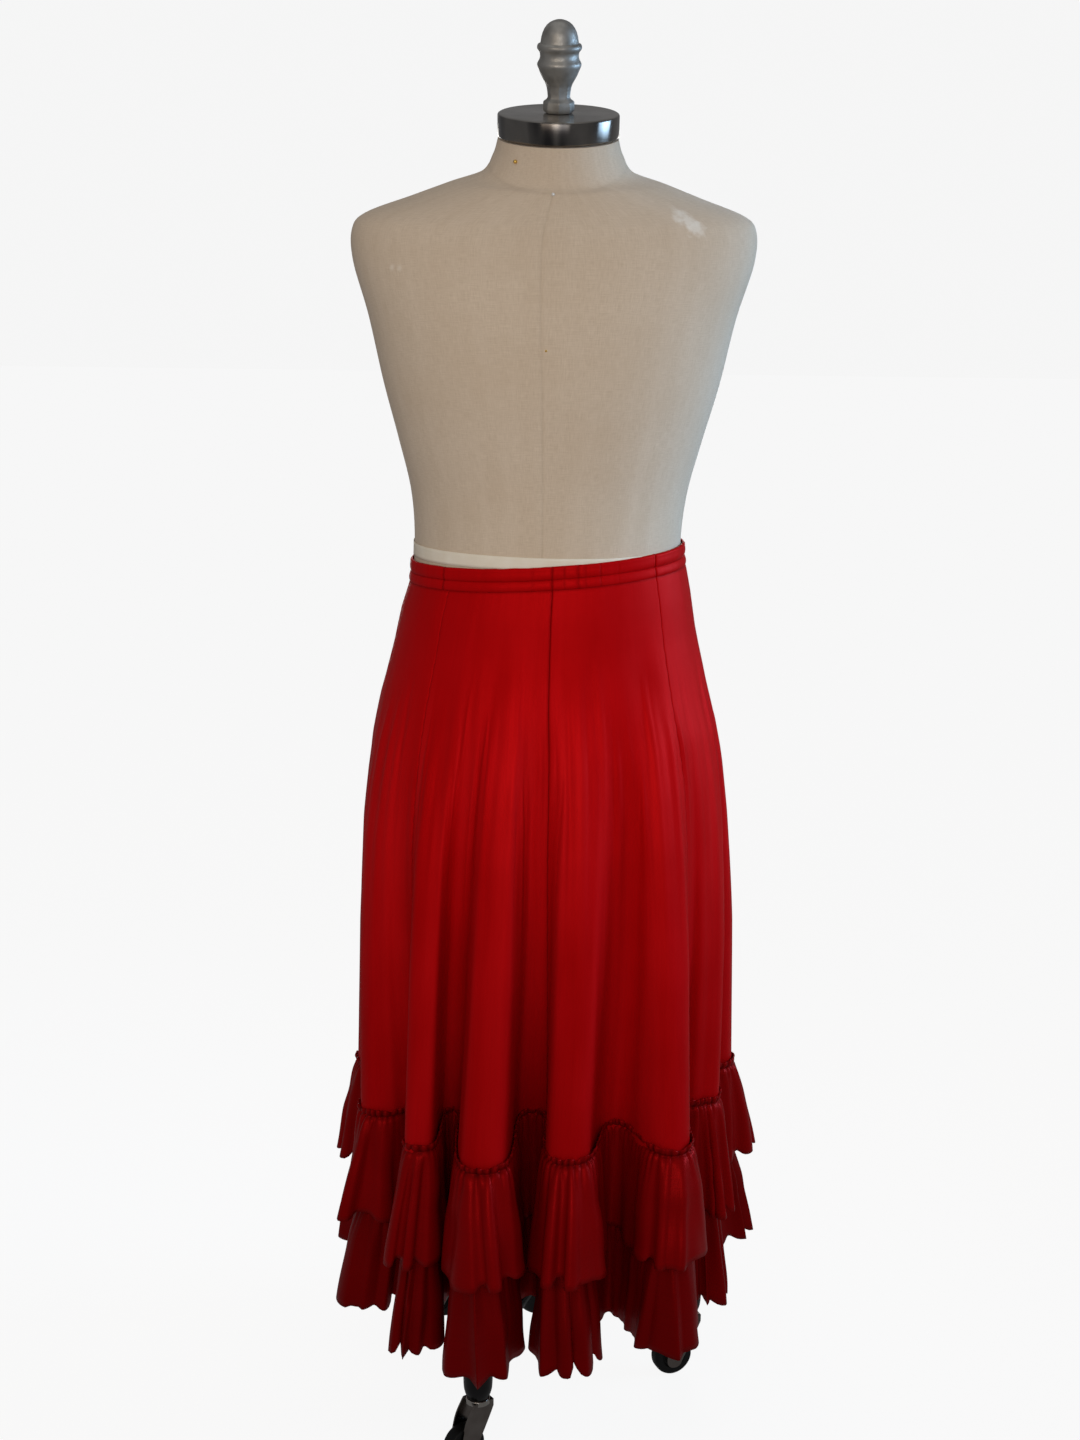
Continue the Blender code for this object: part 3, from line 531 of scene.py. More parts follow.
class Nodes:
    """Short names for building a material's node tree."""

    def __init__(self, name):
        self.material = bpy.data.materials.new(name)
        self.material.use_nodes = True
        self.tree = self.material.node_tree
        self.shader = self.tree.nodes["Principled BSDF"]

    def plug(self, socket, value):
        """Link an output to a socket, or set the socket to a number, a vector or a colour."""
        if isinstance(value, bpy.types.NodeSocket):
            self.tree.links.new(value, socket)
        else:
            socket.default_value = (*value, 1.0) if socket.type == "RGBA" else value

    def add(self, kind, inputs, **settings):
        """A node with its settings, and its sockets set or linked."""
        node = self.tree.nodes.new(kind)
        for key, value in settings.items():
            setattr(node, key, value)
        for key, value in inputs.items():
            self.plug(node.inputs[key], value)
        return node

    def coordinates(self, which, scale=(1.0, 1.0, 1.0)):
        """Texture coordinates stretched by a scale along each axis."""
        source = self.add("ShaderNodeTexCoord", {}).outputs[which]
        return self.add("ShaderNodeMapping", {"Vector": source, "Scale": scale}).outputs["Vector"]

    def noise(self, vector, scale, detail=2.0, roughness=0.5):
        inputs = {"Vector": vector, "Scale": scale, "Detail": detail, "Roughness": roughness}
        return self.add("ShaderNodeTexNoise", inputs).outputs["Fac"]

    def remap(self, value, low, high, to_low=0.0, to_high=1.0):
        inputs = {"Value": value, "From Min": low, "From Max": high, "To Min": to_low, "To Max": to_high}
        return self.add("ShaderNodeMapRange", inputs).outputs["Result"]

    def mix(self, factor, first, second):
        """A colour between two, each a colour or an output."""
        node = self.add("ShaderNodeMix", {"Factor": factor}, data_type="RGBA")
        colours = [socket for socket in node.inputs if socket.type == "RGBA"]
        self.plug(colours[0], first)
        self.plug(colours[1], second)
        return [socket for socket in node.outputs if socket.type == "RGBA"][0]

    def math(self, operation, first, second):
        return self.add("ShaderNodeMath", {0: first, 1: second}, operation=operation).outputs["Value"]

    def wave(self, vector, direction, scale):
        return self.add("ShaderNodeTexWave", {"Vector": vector, "Scale": scale}, wave_type="BANDS",
                        bands_direction=direction).outputs["Fac"]

    def crease(self):
        """The mesh's stored mask: stitching and painted shade in creases on cloth, seams on the linen, and
        the cap's rim for painted reflection bands.
        """
        return self.add("ShaderNodeAttribute", {}, attribute_name="crease").outputs["Fac"]

    def near_point(self, place, radius):
        """1 inside a ragged spot round a place, falling to 0 outside it."""
        source = self.add("ShaderNodeTexCoord", {}).outputs["Object"]
        away = self.add("ShaderNodeVectorMath", {0: source, 1: place}, operation="DISTANCE").outputs["Value"]
        core = radius * SPOT_CORE
        ragged = self.remap(self.noise(source, 110.0, 3.0), 0.3, 0.7, -core, core)
        return self.remap(self.math("ADD", away, ragged), core, radius, 1.0, 0.0)

    def bump(self, height, distance, strength):
        node = self.add("ShaderNodeBump", {"Height": height, "Distance": distance, "Strength": strength})
        self.set(Normal=node.outputs["Normal"])

    def set(self, **values):
        for key, value in values.items():
            self.plug(self.shader.inputs[key.replace("_", " ")], value)


def satin_material(name, depth, grain, gloss, roughness, streaked, shine=0.06):
    """Red polyester satin: long floats down the cloth, a broad soft gloss, faint uneven dye, painted sheen in
    streaks below the hips, painted shade over the hips, and dark thread and painted shade where it is creased
    or stitched.
    """
    nodes = Nodes(name)
    dyes_and_painted_light = {key: tuple(depth * part for part in colour) for key, colour in SATIN_DYES_AND_PAINTED_LIGHT.items()}
    cloth_uv = nodes.coordinates("UV")
    slubs = nodes.noise(nodes.coordinates("UV", grain), 1.0, 3.0)
    dye = nodes.remap(nodes.noise(cloth_uv, 9.0, 2.0), 0.3, 0.7)
    plain = nodes.mix(nodes.remap(slubs, 0.25, 0.75, 0.0, 0.35), nodes.mix(dye, dyes_and_painted_light["deep"], dyes_and_painted_light["pale"]),
                      dyes_and_painted_light["thread"])
    height_on = nodes.add("ShaderNodeSeparateXYZ", {"Vector": cloth_uv}).outputs["Y"]
    # Painted sheen: lighter streaks below the hips, as strong as the streaked amount
    below = nodes.remap(height_on, *SHEEN_STREAKS_FROM, 0.0, streaked)
    streaks = nodes.noise(nodes.coordinates("UV", STREAK_SCALE), 1.0, 4.0, 0.48)
    painted_sheen = nodes.math("MULTIPLY", below, nodes.remap(streaks, 0.46, 0.66))
    plain = nodes.mix(painted_sheen, plain, dyes_and_painted_light["painted_sheen"])
    # Painted shade: the colour darkens over the hips towards the waist
    plain = nodes.mix(nodes.remap(height_on, *HIP_SHADE_FROM, 0.0, 0.6 * streaked), plain, dyes_and_painted_light["hips"])
    weave = nodes.math("ADD", nodes.wave(cloth_uv, "X", 520.0), nodes.wave(cloth_uv, "Y", 340.0))
    nodes.bump(nodes.math("ADD", nodes.math("MULTIPLY", weave, 0.35), slubs), 0.00009, 0.5)
    # Dark red where the crease mask is high: thread at stitching, and painted shade in creases
    nodes.set(Base_Color=nodes.mix(nodes.crease(), plain, dyes_and_painted_light["stitching_and_painted_shade"]), Metallic=gloss,
              Roughness=nodes.remap(slubs, 0.2, 0.8, roughness - 0.04, roughness + 0.05),
              Specular_IOR_Level=shine, Specular_Tint=SATIN_TINT)
    return nodes.material


def linen_material(spots):
    """Beige linen, a plain weave with uneven threads, rubbed pale in a few places."""
    nodes = Nodes("linen")
    cloth_uv = nodes.coordinates("UV")
    across = nodes.noise(nodes.coordinates("UV", (90.0, 1100.0, 1.0)), 1.0, 3.0, 0.6)
    down = nodes.noise(nodes.coordinates("UV", (1100.0, 90.0, 1.0)), 1.0, 3.0, 0.6)
    threads = nodes.math("ADD", across, down)
    mottled = nodes.noise(cloth_uv, 14.0, 5.0, 0.6)
    base = nodes.mix(nodes.remap(threads, 0.70, 1.30), (0.600, 0.486, 0.367), (0.736, 0.621, 0.494))
    stained = nodes.mix(nodes.remap(mottled, 0.35, 0.75, 0.0, 0.35), base, (0.580, 0.452, 0.321))
    streaks = nodes.noise(nodes.coordinates("UV", (55.0, 4.0, 1.0)), 1.0, 4.0, 0.6)
    streaked = nodes.mix(nodes.remap(streaks, 0.45, 0.75, 0.0, 0.22), stained, (0.81, 0.70, 0.58))
    colour = nodes.mix(nodes.crease(), streaked, (0.30, 0.223, 0.155))
    for place, radius, amount in spots:
        spot = nodes.math("MULTIPLY", nodes.near_point(place, radius), amount)
        colour = nodes.mix(spot, colour, (0.90, 0.85, 0.77))
    nodes.bump(threads, 0.00018, 0.6)
    nodes.set(Base_Color=colour, Roughness=0.88, Specular_IOR_Level=0.2, Sheen_Weight=0.15,
              Sheen_Roughness=0.5)
    return nodes.material


def tape_material():
    """Cream twill tape."""
    nodes = Nodes("cream_tape")
    cloth_uv = nodes.coordinates("UV")
    twill = nodes.wave(cloth_uv, "DIAGONAL", 420.0)
    soft = nodes.noise(cloth_uv, 60.0, 3.0)
    colour = nodes.mix(soft, (0.80, 0.72, 0.57), (0.93, 0.88, 0.78))
    nodes.bump(nodes.math("ADD", twill, soft), 0.0001, 0.6)
    nodes.set(Base_Color=colour, Roughness=0.85, Specular_IOR_Level=0.2)
    return nodes.material


def steel_material(name, dark, light, rough_low, rough_high, scale=(30.0, 30.0, 900.0), painted_reflection_bands=False):
    """Steel with brush marks that run round or along it, and, where asked, painted dark reflections in
    upright bands on its rim.
    """
    nodes = Nodes(name)
    brushed = nodes.noise(nodes.coordinates("Object", scale), 1.0, 3.0, 0.6)
    cloudy = nodes.noise(nodes.coordinates("Object", (28.0, 28.0, 28.0)), 1.0, 4.0)
    colour = nodes.mix(nodes.remap(cloudy, 0.3, 0.7), dark, light)
    if painted_reflection_bands:
        # Painted reflection: dark upright bands on the rim, standing in for a dark room mirrored in the steel
        bands = nodes.noise(nodes.coordinates("Object", (30.0, 30.0, 0.6)), 1.0, 2.0)
        painted_reflection = nodes.math("MULTIPLY", nodes.crease(), nodes.remap(bands, 0.60, 0.40, 0.55, 1.0))
        colour = nodes.mix(painted_reflection, colour, (0.045, 0.043, 0.045))
        nodes.set(Anisotropic=0.8, Anisotropic_Rotation=0.25)
    nodes.bump(brushed, 0.000012, 0.4)
    nodes.set(Base_Color=colour, Metallic=1.0,
              Roughness=nodes.remap(brushed, 0.2, 0.8, rough_low, rough_high))
    return nodes.material


def cast_material():
    """Grey cast alloy with a fine skin and a cloudy, uneven tone."""
    nodes = Nodes("cast_alloy")
    place = nodes.coordinates("Object")
    skin = nodes.noise(place, 420.0, 4.0, 0.65)
    cloudy = nodes.noise(place, 60.0, 3.0)
    colour = nodes.mix(nodes.remap(cloudy, 0.3, 0.7), (0.28, 0.27, 0.25), (0.48, 0.475, 0.455))
    nodes.bump(skin, 0.0003, 0.5)
    nodes.set(Base_Color=colour, Metallic=0.85, Roughness=nodes.remap(skin, 0.3, 0.7, 0.40, 0.58))
    return nodes.material


def plain_material(name, dark, light, roughness, scale, depth, metallic=0.0, gloss=0.5):
    """A moulded or enamelled surface: two close colours and a fine skin."""
    nodes = Nodes(name)
    place = nodes.coordinates("Object")
    skin = nodes.noise(place, scale, 4.0, 0.6)
    colour = nodes.mix(nodes.remap(skin, 0.3, 0.7), dark, light)
    nodes.bump(skin, depth, 0.5)
    nodes.set(Base_Color=colour, Roughness=roughness, Metallic=metallic, Specular_IOR_Level=gloss)
    return nodes.material


# The skirt


def waist_ripple(numbers):
    """Small gathers that the elastic leaves in the cloth round the waist."""
    turns = numbers / FOLD_COUNT
    fine = noise_line(turns * 118, 118, 3)
    coarse = noise_line(turns * 46, 46, 4)
    patchy = 0.55 + 0.45 * noise_line(turns * 15, 15, 5)
    return (0.55 * fine + 0.45 * coarse) * patchy


def seam_pinch(numbers, reach):
    """1 on a gore's seam, 0 further from it than a reach of fold numbers."""
    nearest = np.full(numbers.shape, FOLD_COUNT, dtype=float)
    for seam in SEAM_NUMBERS:
        away = np.abs((numbers - seam + FOLD_COUNT / 2) % FOLD_COUNT - FOLD_COUNT / 2)
        nearest = np.minimum(nearest, away)
    return 1 - smooth_step(0, reach, nearest)


def flames(turns, z):
    """Ridges that begin in points below the hips, one a cell round the skirt, and widen downwards."""
    place = turns * FLAME_COUNT
    random = np.random.RandomState(23).uniform(-1, 1, (3, FLAME_COUNT))
    highest = np.zeros_like(turns)
    for step in (-1, 0, 1):
        cell = np.floor(place) + step
        moved, raised_by, taller = random[:, cell.astype(int) % FLAME_COUNT]
        below = np.clip((FLAME_TIP + FLAME_SPREAD * raised_by - z) / FLAME_REACH, 0, 1)
        half = 0.08 + 0.85 * below ** 0.7
        ridge = np.clip(1 - np.abs(place - cell - 0.5 - FLAME_SHIFT * moved) / half, 0, 1)
        highest = np.maximum(highest, (0.7 + 0.5 * taller) * np.minimum(4 * below, 1) * ridge)
    return highest


def layer(weight, turns, z, depth, cells, rise, seed):
    """One layer of smooth random folds on the body."""
    return depth * weight * noise_field(turns * cells, z * rise, cells, seed)


def drape(numbers, z):
    """How far the body's cloth stands off its smooth form: small folds, ripples and pull lines."""
    turns = numbers / FOLD_COUNT
    gathers = BAND_GATHERS * smooth_step(BAND_SEAM_Z - GATHERS_REACH, BAND_SEAM_Z, z) * waist_ripple(numbers)
    breaks = FOLDS_FROM + FOLDS_WAVER * noise_line(turns * 90, 90, 21)
    onset = np.clip((breaks - z) / FOLDS_DEEPEN, 0, 1) ** 0.75
    folds = layer(onset, turns, z, *SMALL_FOLDS)
    folds = folds + FLAME_HEIGHT * (1 - 0.45 * smooth_step(0.75, 0.5, z)) * (flames(turns, z) - 0.3)
    streaks = layer(onset, turns, z, *FINE_FOLDS)
    broad = layer(smooth_step(1.0, 0.9, z), turns, z, *BROAD_FOLDS)
    wobble = noise_line(z * 9, 32, 6)
    pucker = SEAM_PUCKER * seam_pinch(numbers, PUCKER_REACH) * math.sin(z * PUCKER_RATE + 3 * wobble)
    return gathers + folds + streaks + broad + pucker


def gore_numbers(start, end):
    """Columns of one gore, with extra ones close to its two seams."""
    low, high = arc_at(np.array([start, end]))
    inside = numbers_between(start, end, GORE_SPACING)
    inside = inside[(arc_at(inside) > low + SEAM_CLEAR) & (arc_at(inside) < high - SEAM_CLEAR)]
    edges = np.array([low + step for step in SEAM_STEPS] + [high - step for step in SEAM_STEPS])
    return np.sort(np.concatenate([[start], inside, numbers_at(edges), [end]]))


def gore_grid(start, end):
    numbers = gore_numbers(start, end)
    shared = columns_at(numbers)
    s = arc_at(numbers)
    edge = np.minimum(s - s[0], s[-1] - s)
    seam = 1 - smooth_step(0.0, SEAM_WIDTH, edge)
    heights = np.concatenate([BAND_SEAM_Z + np.array([0.004, 0.002, 0.0, -0.0015, -0.003]),
                              np.linspace(BAND_SEAM_Z - 0.008, BODY_HEM_Z, GORE_ROWS - 5)])
    rows = []
    crease = []
    for z in heights:
        here, normal, _ = body_frame(shared, z)
        tucked = smooth_step(BAND_SEAM_Z - 0.003, BAND_SEAM_Z, z)
        off = drape(numbers, z) * (1 - tucked) - SEAM_DEPTH * seam - TUCK_DEPTH * tucked
        rows.append(raised(here + normal * off[:, None], np.full(len(numbers), z)))
        # Darker in the seam's groove, for thread and painted shade, and painted shade where the cloth tucks
        # under the casing
        crease.append(np.maximum(0.75 * seam, 0.45 * tucked))
    uvs = np.stack(np.meshgrid(s, heights), axis=2)
    return np.array(rows), uvs, np.array(crease)


def gores(material):
    for name, (start, end) in zip(GORE_NAMES, spans(SEAM_NUMBERS)):
        grid, uvs, crease = gore_grid(start, end)
        item = cloth(name + "_satin", grid, uvs, SATIN, material, crease=crease)
        finish_piece(item, STAND, "red_satin", name)


# Height below the casing's top edge, and how far the cloth stands out there: two stitched channels
BAND_PROFILE = [
    (0.0000, -0.0010), (0.0004, 0.0002), (0.0012, 0.0010), (0.0022, 0.0013), (0.0034, 0.0011),
    (0.0060, 0.0014), (0.0085, 0.0015), (0.0108, 0.0012), (0.0126, 0.0006), (0.0134, -0.0001),
    (0.0138, -0.0006), (0.0142, -0.0001), (0.0150, 0.0005), (0.0170, 0.0010), (0.0192, 0.0011),
    (0.0215, 0.0008), (0.0232, 0.0002), (0.0242, -0.0006), (0.0248, -0.0012),
]
BAND_GROOVES = (0.0138, 0.0250)
# Places of the casing's own seams and of its deeper puckers, in degrees round the hips
BAND_SEAM_DEGREES = (-137.0, -88.0, -40.0, 36.0, 90.0, 146.0)
BAND_PUCKERS = ((-83.0, 0.5), (-77.5, 1.0), (-74.5, 0.4), (-68.0, 0.7), (-60.0, 0.3), (-96.0, 0.3))
# Spacing of the casing's columns, how far its channels stand out, the depths of its ripples, puckers
# and seams, how far its top edge wavers, and the width of its stitching
BAND_SPACING = 0.0032
BAND_CHANNEL = 0.0015
BAND_RIPPLE = 0.0010
BAND_PUCKER_DEPTH = 0.0016
BAND_SEAM_DEPTH = 0.0012
BAND_EDGE_WAVE = 0.0009
STITCH_WIDTH = 0.0007


def bumps_round(hip, places, width):
    """Narrow bumps at places given in degrees round the hips, each with its height."""
    return sum(height * np.exp(-((hip - place + 180) % 360 - 180) ** 2 / width) for place, height in places)


def band_grid():
    numbers = numbers_between(0, FOLD_COUNT, BAND_SPACING)[:-1]
    shared = columns_at(numbers)
    hip = np.degrees(shared["here"]["hip"])
    ripple = waist_ripple(numbers)
    seams = bumps_round(hip, [(place, 1.0) for place in BAND_SEAM_DEGREES], 0.20)
    puckers = bumps_round(hip, BAND_PUCKERS, 0.30)
    rows = []
    crease = []
    for depth, out in BAND_PROFILE:
        z = BAND_TOP_Z - depth
        here, normal, _ = body_frame(shared, z)
        puffed = max(out, 0.0) / BAND_CHANNEL
        off = out + BAND_RIPPLE * ripple * (0.25 + 0.75 * puffed)
        off = off - BAND_PUCKER_DEPTH * puckers * puffed - BAND_SEAM_DEPTH * seams
        edge = z + BAND_EDGE_WAVE * waist_ripple(numbers + 3) * (1 - depth / 0.03)
        rows.append(raised(here + normal * off[:, None], edge))
        stitched = max(math.exp(-((depth - groove) / STITCH_WIDTH) ** 2) for groove in BAND_GROOVES)
        # Darker at the stitching and the casing's seams, for thread and painted shade, and painted shade in
        # its puckers
        crease.append(np.clip(np.maximum(0.28 * stitched, 0.6 * seams + 0.5 * puckers), 0, 0.8))
    s = np.linspace(0, 0.9, len(numbers))
    uvs = np.stack(np.meshgrid(s, [BAND_TOP_Z - depth for depth, _ in BAND_PROFILE]), axis=2)
    return np.array(rows), uvs, np.array(crease)


def waistband(material):
    grid, uvs, crease = band_grid()
    item = cloth("waistband_satin", grid, uvs, SATIN, material, closed=True, crease=crease)
    finish_piece(item, STAND, "red_satin", "waistband")


# Ruffles


def wave_nodes(seed):
    """Places, heights and leans of the waves' tops and feet by turns, all a little uneven."""
    random = np.random.RandomState(seed)
    places = np.array([index + share for index in range(FOLD_COUNT) for share in WAVE_SHARES])
    places = places + random.uniform(-WAVE_JITTER, WAVE_JITTER, len(places))
    heights = random.uniform(*WAVE_HEIGHTS, len(places))
    leans = random.uniform(-1, 1, len(places))
    table = np.array([places, heights, leans])
    table = np.concatenate([table[:, -2:], table, table[:, :2]], axis=1)
    table[0, :2] -= FOLD_COUNT
    table[0, -2:] += FOLD_COUNT
    return table


def waves_at(numbers, nodes):
    """Waves through their nodes: how far out from -1 to 1, a doubled wave along the cloth, and the lean."""
    places, heights, leans = nodes
    wrapped = numbers % FOLD_COUNT
    index = np.clip(np.searchsorted(places, wrapped, side="right") - 1, 0, len(places) - 2)
    share = np.clip((wrapped - places[index]) / (places[index + 1] - places[index]), 0, 1)
    blend = (1 - np.cos(math.pi * share)) / 2
    height, lean = (row[index] * (1 - blend) + row[index + 1] * blend for row in (heights, leans))
    phase = math.pi * (index % 2 + share)
    return height * np.cos(phase), height * np.sin(2 * phase), lean * np.cos(phase)


def pleats(s, spacing, seed, sharpness):
    """Rounded ridges with narrow creases between them, about a spacing apart along the cloth."""
    count = 2 * int(round(ROUND / spacing / 2))
    turns = s / ROUND
    wander = 0.42 * noise_line(turns * (count // 2), count // 2, seed)
    wander = wander + 0.55 * noise_line(turns * (count // 5), count // 5, seed + 2)
    ridge = np.abs(np.cos(math.pi * (turns * count + wander)))
    uneven = 0.62 + 0.38 * noise_line(turns * (count // 3), count // 3, seed + 1)
    return (2 * ridge ** sharpness - 1.1) * uneven


def ruffle_row(tier, fall, columns):
    """Points of a ruffle at one fall: 0 at its seam, 1 at its hem, below 0 on the frill over the seam."""
    hang = max(fall, 0.0)
    spread = hang ** FAN_POWER
    crest = columns["crest"]
    z = tier["top_z"] - tier["drop"] * fall - tier["dips"] * columns["dip"] * crest * (1 - hang)
    here, normal, tangent = body_frame(columns["shared"], z)
    swing = columns["swing"] * (crest * hang)[:, None]
    swing = swing - normal * np.minimum((swing * normal).sum(axis=1), 0.0)[:, None]
    fan = columns["fan"] * crest ** 2 + FLANK_FAN * 4 * crest * (1 - crest)
    out, double, lean = waves_at(columns["numbers"] + columns["tilt"] * hang, columns["nodes"])
    half = HEM_WAVE * crest ** 0.8
    seam = math.exp(-hang / GATHER_FADE)
    off = tier["stand_off"] + HEM_CLEAR * abs(fall) + (fan + half) * spread
    off = off + (half * WAVE_GAIN + WAVE_VALLEY) * tier["phase"] * out * spread
    off = off + GATHER_DEPTH * seam * (1 - 0.45 * math.exp(-hang / 0.012)) * columns["fine"]
    fading = smooth_step(0.0, GATHER_FADE, hang) * (0.05 + 0.95 * math.exp(-hang / PLEAT_FADE))
    off = off + PLEAT_DEPTH * fading * columns["coarse"]
    rumpled = noise_field(columns["turns"] * 100, 3.4 * hang + 9, 100, tier["seed"] + 11)
    off = off + RUMPLE * smooth_step(0.1, 0.5, hang) * rumpled
    off = off - SEAM_GROOVE * math.exp(-(fall / GROOVE_FADE) ** 2)
    along = (half * tier["phase"] * (WAVE_ROUND * double + WAVE_LEAN * lean)) * spread
    lobe = 1 - np.clip((1 - tier["phase"] * out) / 2, 0, 1) ** 3
    height = z + columns["lift"] * crest * hang - hang ** 3 * (
        (HEM_POINTS * lobe + tier["notch"] * (lobe - 0.5)) * crest ** 0.5 + HEM_UNEVEN * columns["hem"])
    if fall < 0:
        up = -fall / tier["frill"]
        frill, rough = columns["frill"], columns["rough"]
        off = off + math.sin(math.pi * up * 0.8) * FRILL_OUT * (0.5 + frill + 0.6 * rough)
        height = height + up * FRILL_UP * (rough + 0.6 * frill)
    places = here + normal * off[:, None] + tangent * along[:, None] + swing
    # Painted shade in the hollows between gathers and under the frill's folds, and thread with painted shade
    # along the seam
    shaded_hollows = np.clip(0.35 - columns["fine"], 0, 1)
    crease = 0.75 * math.exp(-(fall / SEAM_STRIP) ** 2) * (0.35 + 0.65 * shaded_hollows) + 0.4 * seam * shaded_hollows
    if fall < 0:
        crease = crease + 0.5 * np.clip(0.4 - frill, 0, 1)
    return raised(places, height), np.clip(crease, 0, 0.85)


def ruffle_grid(tier, start, end):
    numbers = numbers_between(start, end, RUFFLE_SPACING)
    s = arc_at(numbers)
    index = np.floor(numbers + 0.5).astype(int) % FOLD_COUNT
    seed = tier["seed"]
    columns = {
        "numbers": numbers,
        "shared": columns_at(numbers),
        "crest": crestness(numbers),
        "swing": np.array([[fold["swing_x"], fold["swing_y"]] for fold in AXES])[index],
        "nodes": wave_nodes(seed),
        "turns": s / ROUND,
        "tilt": WAVE_TILT * noise_line(numbers * 5, 5 * FOLD_COUNT, seed + 2),
        "fine": pleats(s, GATHER, seed + 3, 0.8),
        "coarse": pleats(s, 2.1 * GATHER, seed + 5, 0.9),
        "hem": noise_line(s / ROUND * 70, 70, seed + 7),
        "frill": pleats(s + 0.002, GATHER, seed + 8, 1.0),
        "rough": noise_line(s / ROUND * 380, 380, seed + 9),
    }
    for name in ("fan", "dip", "lift"):
        columns[name] = np.array([fold[name] for fold in AXES])[index]
    falls = list(np.linspace(0, 1, RUFFLE_ROWS) ** 1.35)
    if tier["frill"]:
        falls = list(-tier["frill"] * np.linspace(1, 0, FRILL_ROWS + 1)[:-1]) + falls
    rows = [ruffle_row(tier, fall, columns) for fall in falls]
    uvs = np.stack(np.meshgrid(s * 1.6, -np.array(falls) * tier["drop"]), axis=2)
    return np.array([row[0] for row in rows]), uvs, np.array([row[1] for row in rows])


def ruffles(tier, material):
    for side, (start, end) in zip(STRIP_NAMES, spans(STRIP_STARTS)):
        grid, uvs, crease = ruffle_grid(tier, start, end)
        node = f"{tier['name']}_ruffle_{side}"
        item = cloth(node + "_satin", grid, uvs, SATIN, material, crease=crease)
        finish_piece(item, STAND, "red_satin", node)


# The dress form


def ring_table(fine):
    """The form's rings, read smoothly between the rows of its table."""
    rows = np.array(FORM)
    at = np.linspace(0, len(rows) - 1, fine)
    low = np.clip(np.floor(at).astype(int), 0, len(rows) - 2)
    t = (at - low)[:, None]
    slopes = np.gradient(rows, axis=0)
    return ((2 * t ** 3 - 3 * t ** 2 + 1) * rows[low] + (t ** 3 - 2 * t ** 2 + t) * slopes[low]
            + (-2 * t ** 3 + 3 * t ** 2) * rows[low + 1] + (t ** 3 - t ** 2) * slopes[low + 1])


def form_ring(values, angle, grow=0.0):
    z, half_width, half_depth, forward, left, roundness, lean = values
    x, y = ((half + grow) * np.sign(turn) * np.abs(turn) ** (2 / roundness)
            for half, turn in ((half_width, np.cos(angle)), (half_depth, np.sin(angle))))
    return np.stack([x - left, y - forward, z + lean * y], axis=1)


SEAM_ANGLES = (-92.3, 0.0, 90.0, -180.0)
NECK_SEAM_Z = 1.4760
NECK_SEAM_DIP = 0.42
# The form's seams: depth, how dark, half width in degrees round it, and half height of the neck's seam
FORM_SEAM_DEPTH = 0.0006
FORM_SEAM_CREASE = 0.15
FORM_SEAM_DEGREES = 0.35
NECK_SEAM_HALF = 0.0010
# Radii that turn an angle into a length on the linen and on the tape
LINEN_RADIUS = 0.16
TAPE_RADIUS = 0.135
# The tape: top edge, width, and how far it stands off the form's surface
TAPE_TOP_Z = 1.0645
TAPE_WIDTH = 0.0140
TAPE_OFF = 0.0009


def form(material):
    """The torso: linen in four panels over a smooth limbless form, with a seam round the neck's base."""
    rings = ring_table((len(FORM) - 1) * FORM_ROWS_A_RING + 1)
    points = []
    uvs = []
    crease = []
    close = [seam + step for seam in SEAM_ANGLES for step in (-0.9, -0.4, 0.4, 0.9)]
    turn = np.sort(np.concatenate([np.linspace(-180, 180, FORM_SEGMENTS, endpoint=False), close]))
    angle = np.radians(turn)
    groove = sum(np.exp(-(((turn - seam + 180) % 360 - 180) / FORM_SEAM_DEGREES) ** 2)
                 for seam in SEAM_ANGLES)
    for values in rings:
        ring = form_ring(values, angle)
        under = NECK_SEAM_Z + NECK_SEAM_DIP * np.minimum(ring[:, 1], 0.0) - ring[:, 2]
        neck = np.exp(-(under / NECK_SEAM_HALF) ** 2)
        outward = unit(np.stack([(ring[:, 0] + values[4]) / values[1] ** 2,
                                 (ring[:, 1] + values[3]) / values[2] ** 2], axis=1))
        seamed = np.maximum(groove * (under > 0), neck)
        ring[:, :2] -= outward * FORM_SEAM_DEPTH * seamed[:, None]
        crease.append(FORM_SEAM_CREASE * seamed)
        points.append(ring)
        uvs.append(np.stack([angle * LINEN_RADIUS, np.full(len(angle), values[0])], axis=1))
    grid = np.array(points)
    rows, columns = grid.shape[:2]
    item = mesh_object("form_linen", grid.reshape(-1, 3), tube_faces(rows, columns), material,
                       np.array(uvs).reshape(-1, 2), columns, closed=True)
    item.data.set_sharp_from_angle(angle=math.radians(60))
    mark_creases(item.data, crease)
    return finish_piece(item, STAND, "linen", "form")


def waist_tape(material):
    """Cream tape round the waist, a little uneven in its height."""
    rows = []
    angle = np.linspace(0, math.tau, 240, endpoint=False)
    shape = ring_table(len(FORM) * 20)
    for share in np.linspace(0, 1, 6):
        z = TAPE_TOP_Z - TAPE_WIDTH * share
        values = [float(np.interp(-z, -shape[:, 0], column)) for column in shape.T]
        ring = form_ring(values, angle, TAPE_OFF)
        ring[:, 2] = ring[:, 2] + 0.0007 * np.sin(3 * angle + 1) - 0.0008 * (1 - share) * np.cos(angle)
        rows.append(ring)
    grid = np.array(rows)
    uvs = np.stack(np.meshgrid(angle * TAPE_RADIUS, np.linspace(0, TAPE_WIDTH, 6)), axis=2)
    item = cloth("waist_tape_cotton", grid, uvs, TAPE_CLOTH, material, closed=True)
    finish_piece(item, STAND, "cream_tape", "waist_tape")


# Turned and bent metal


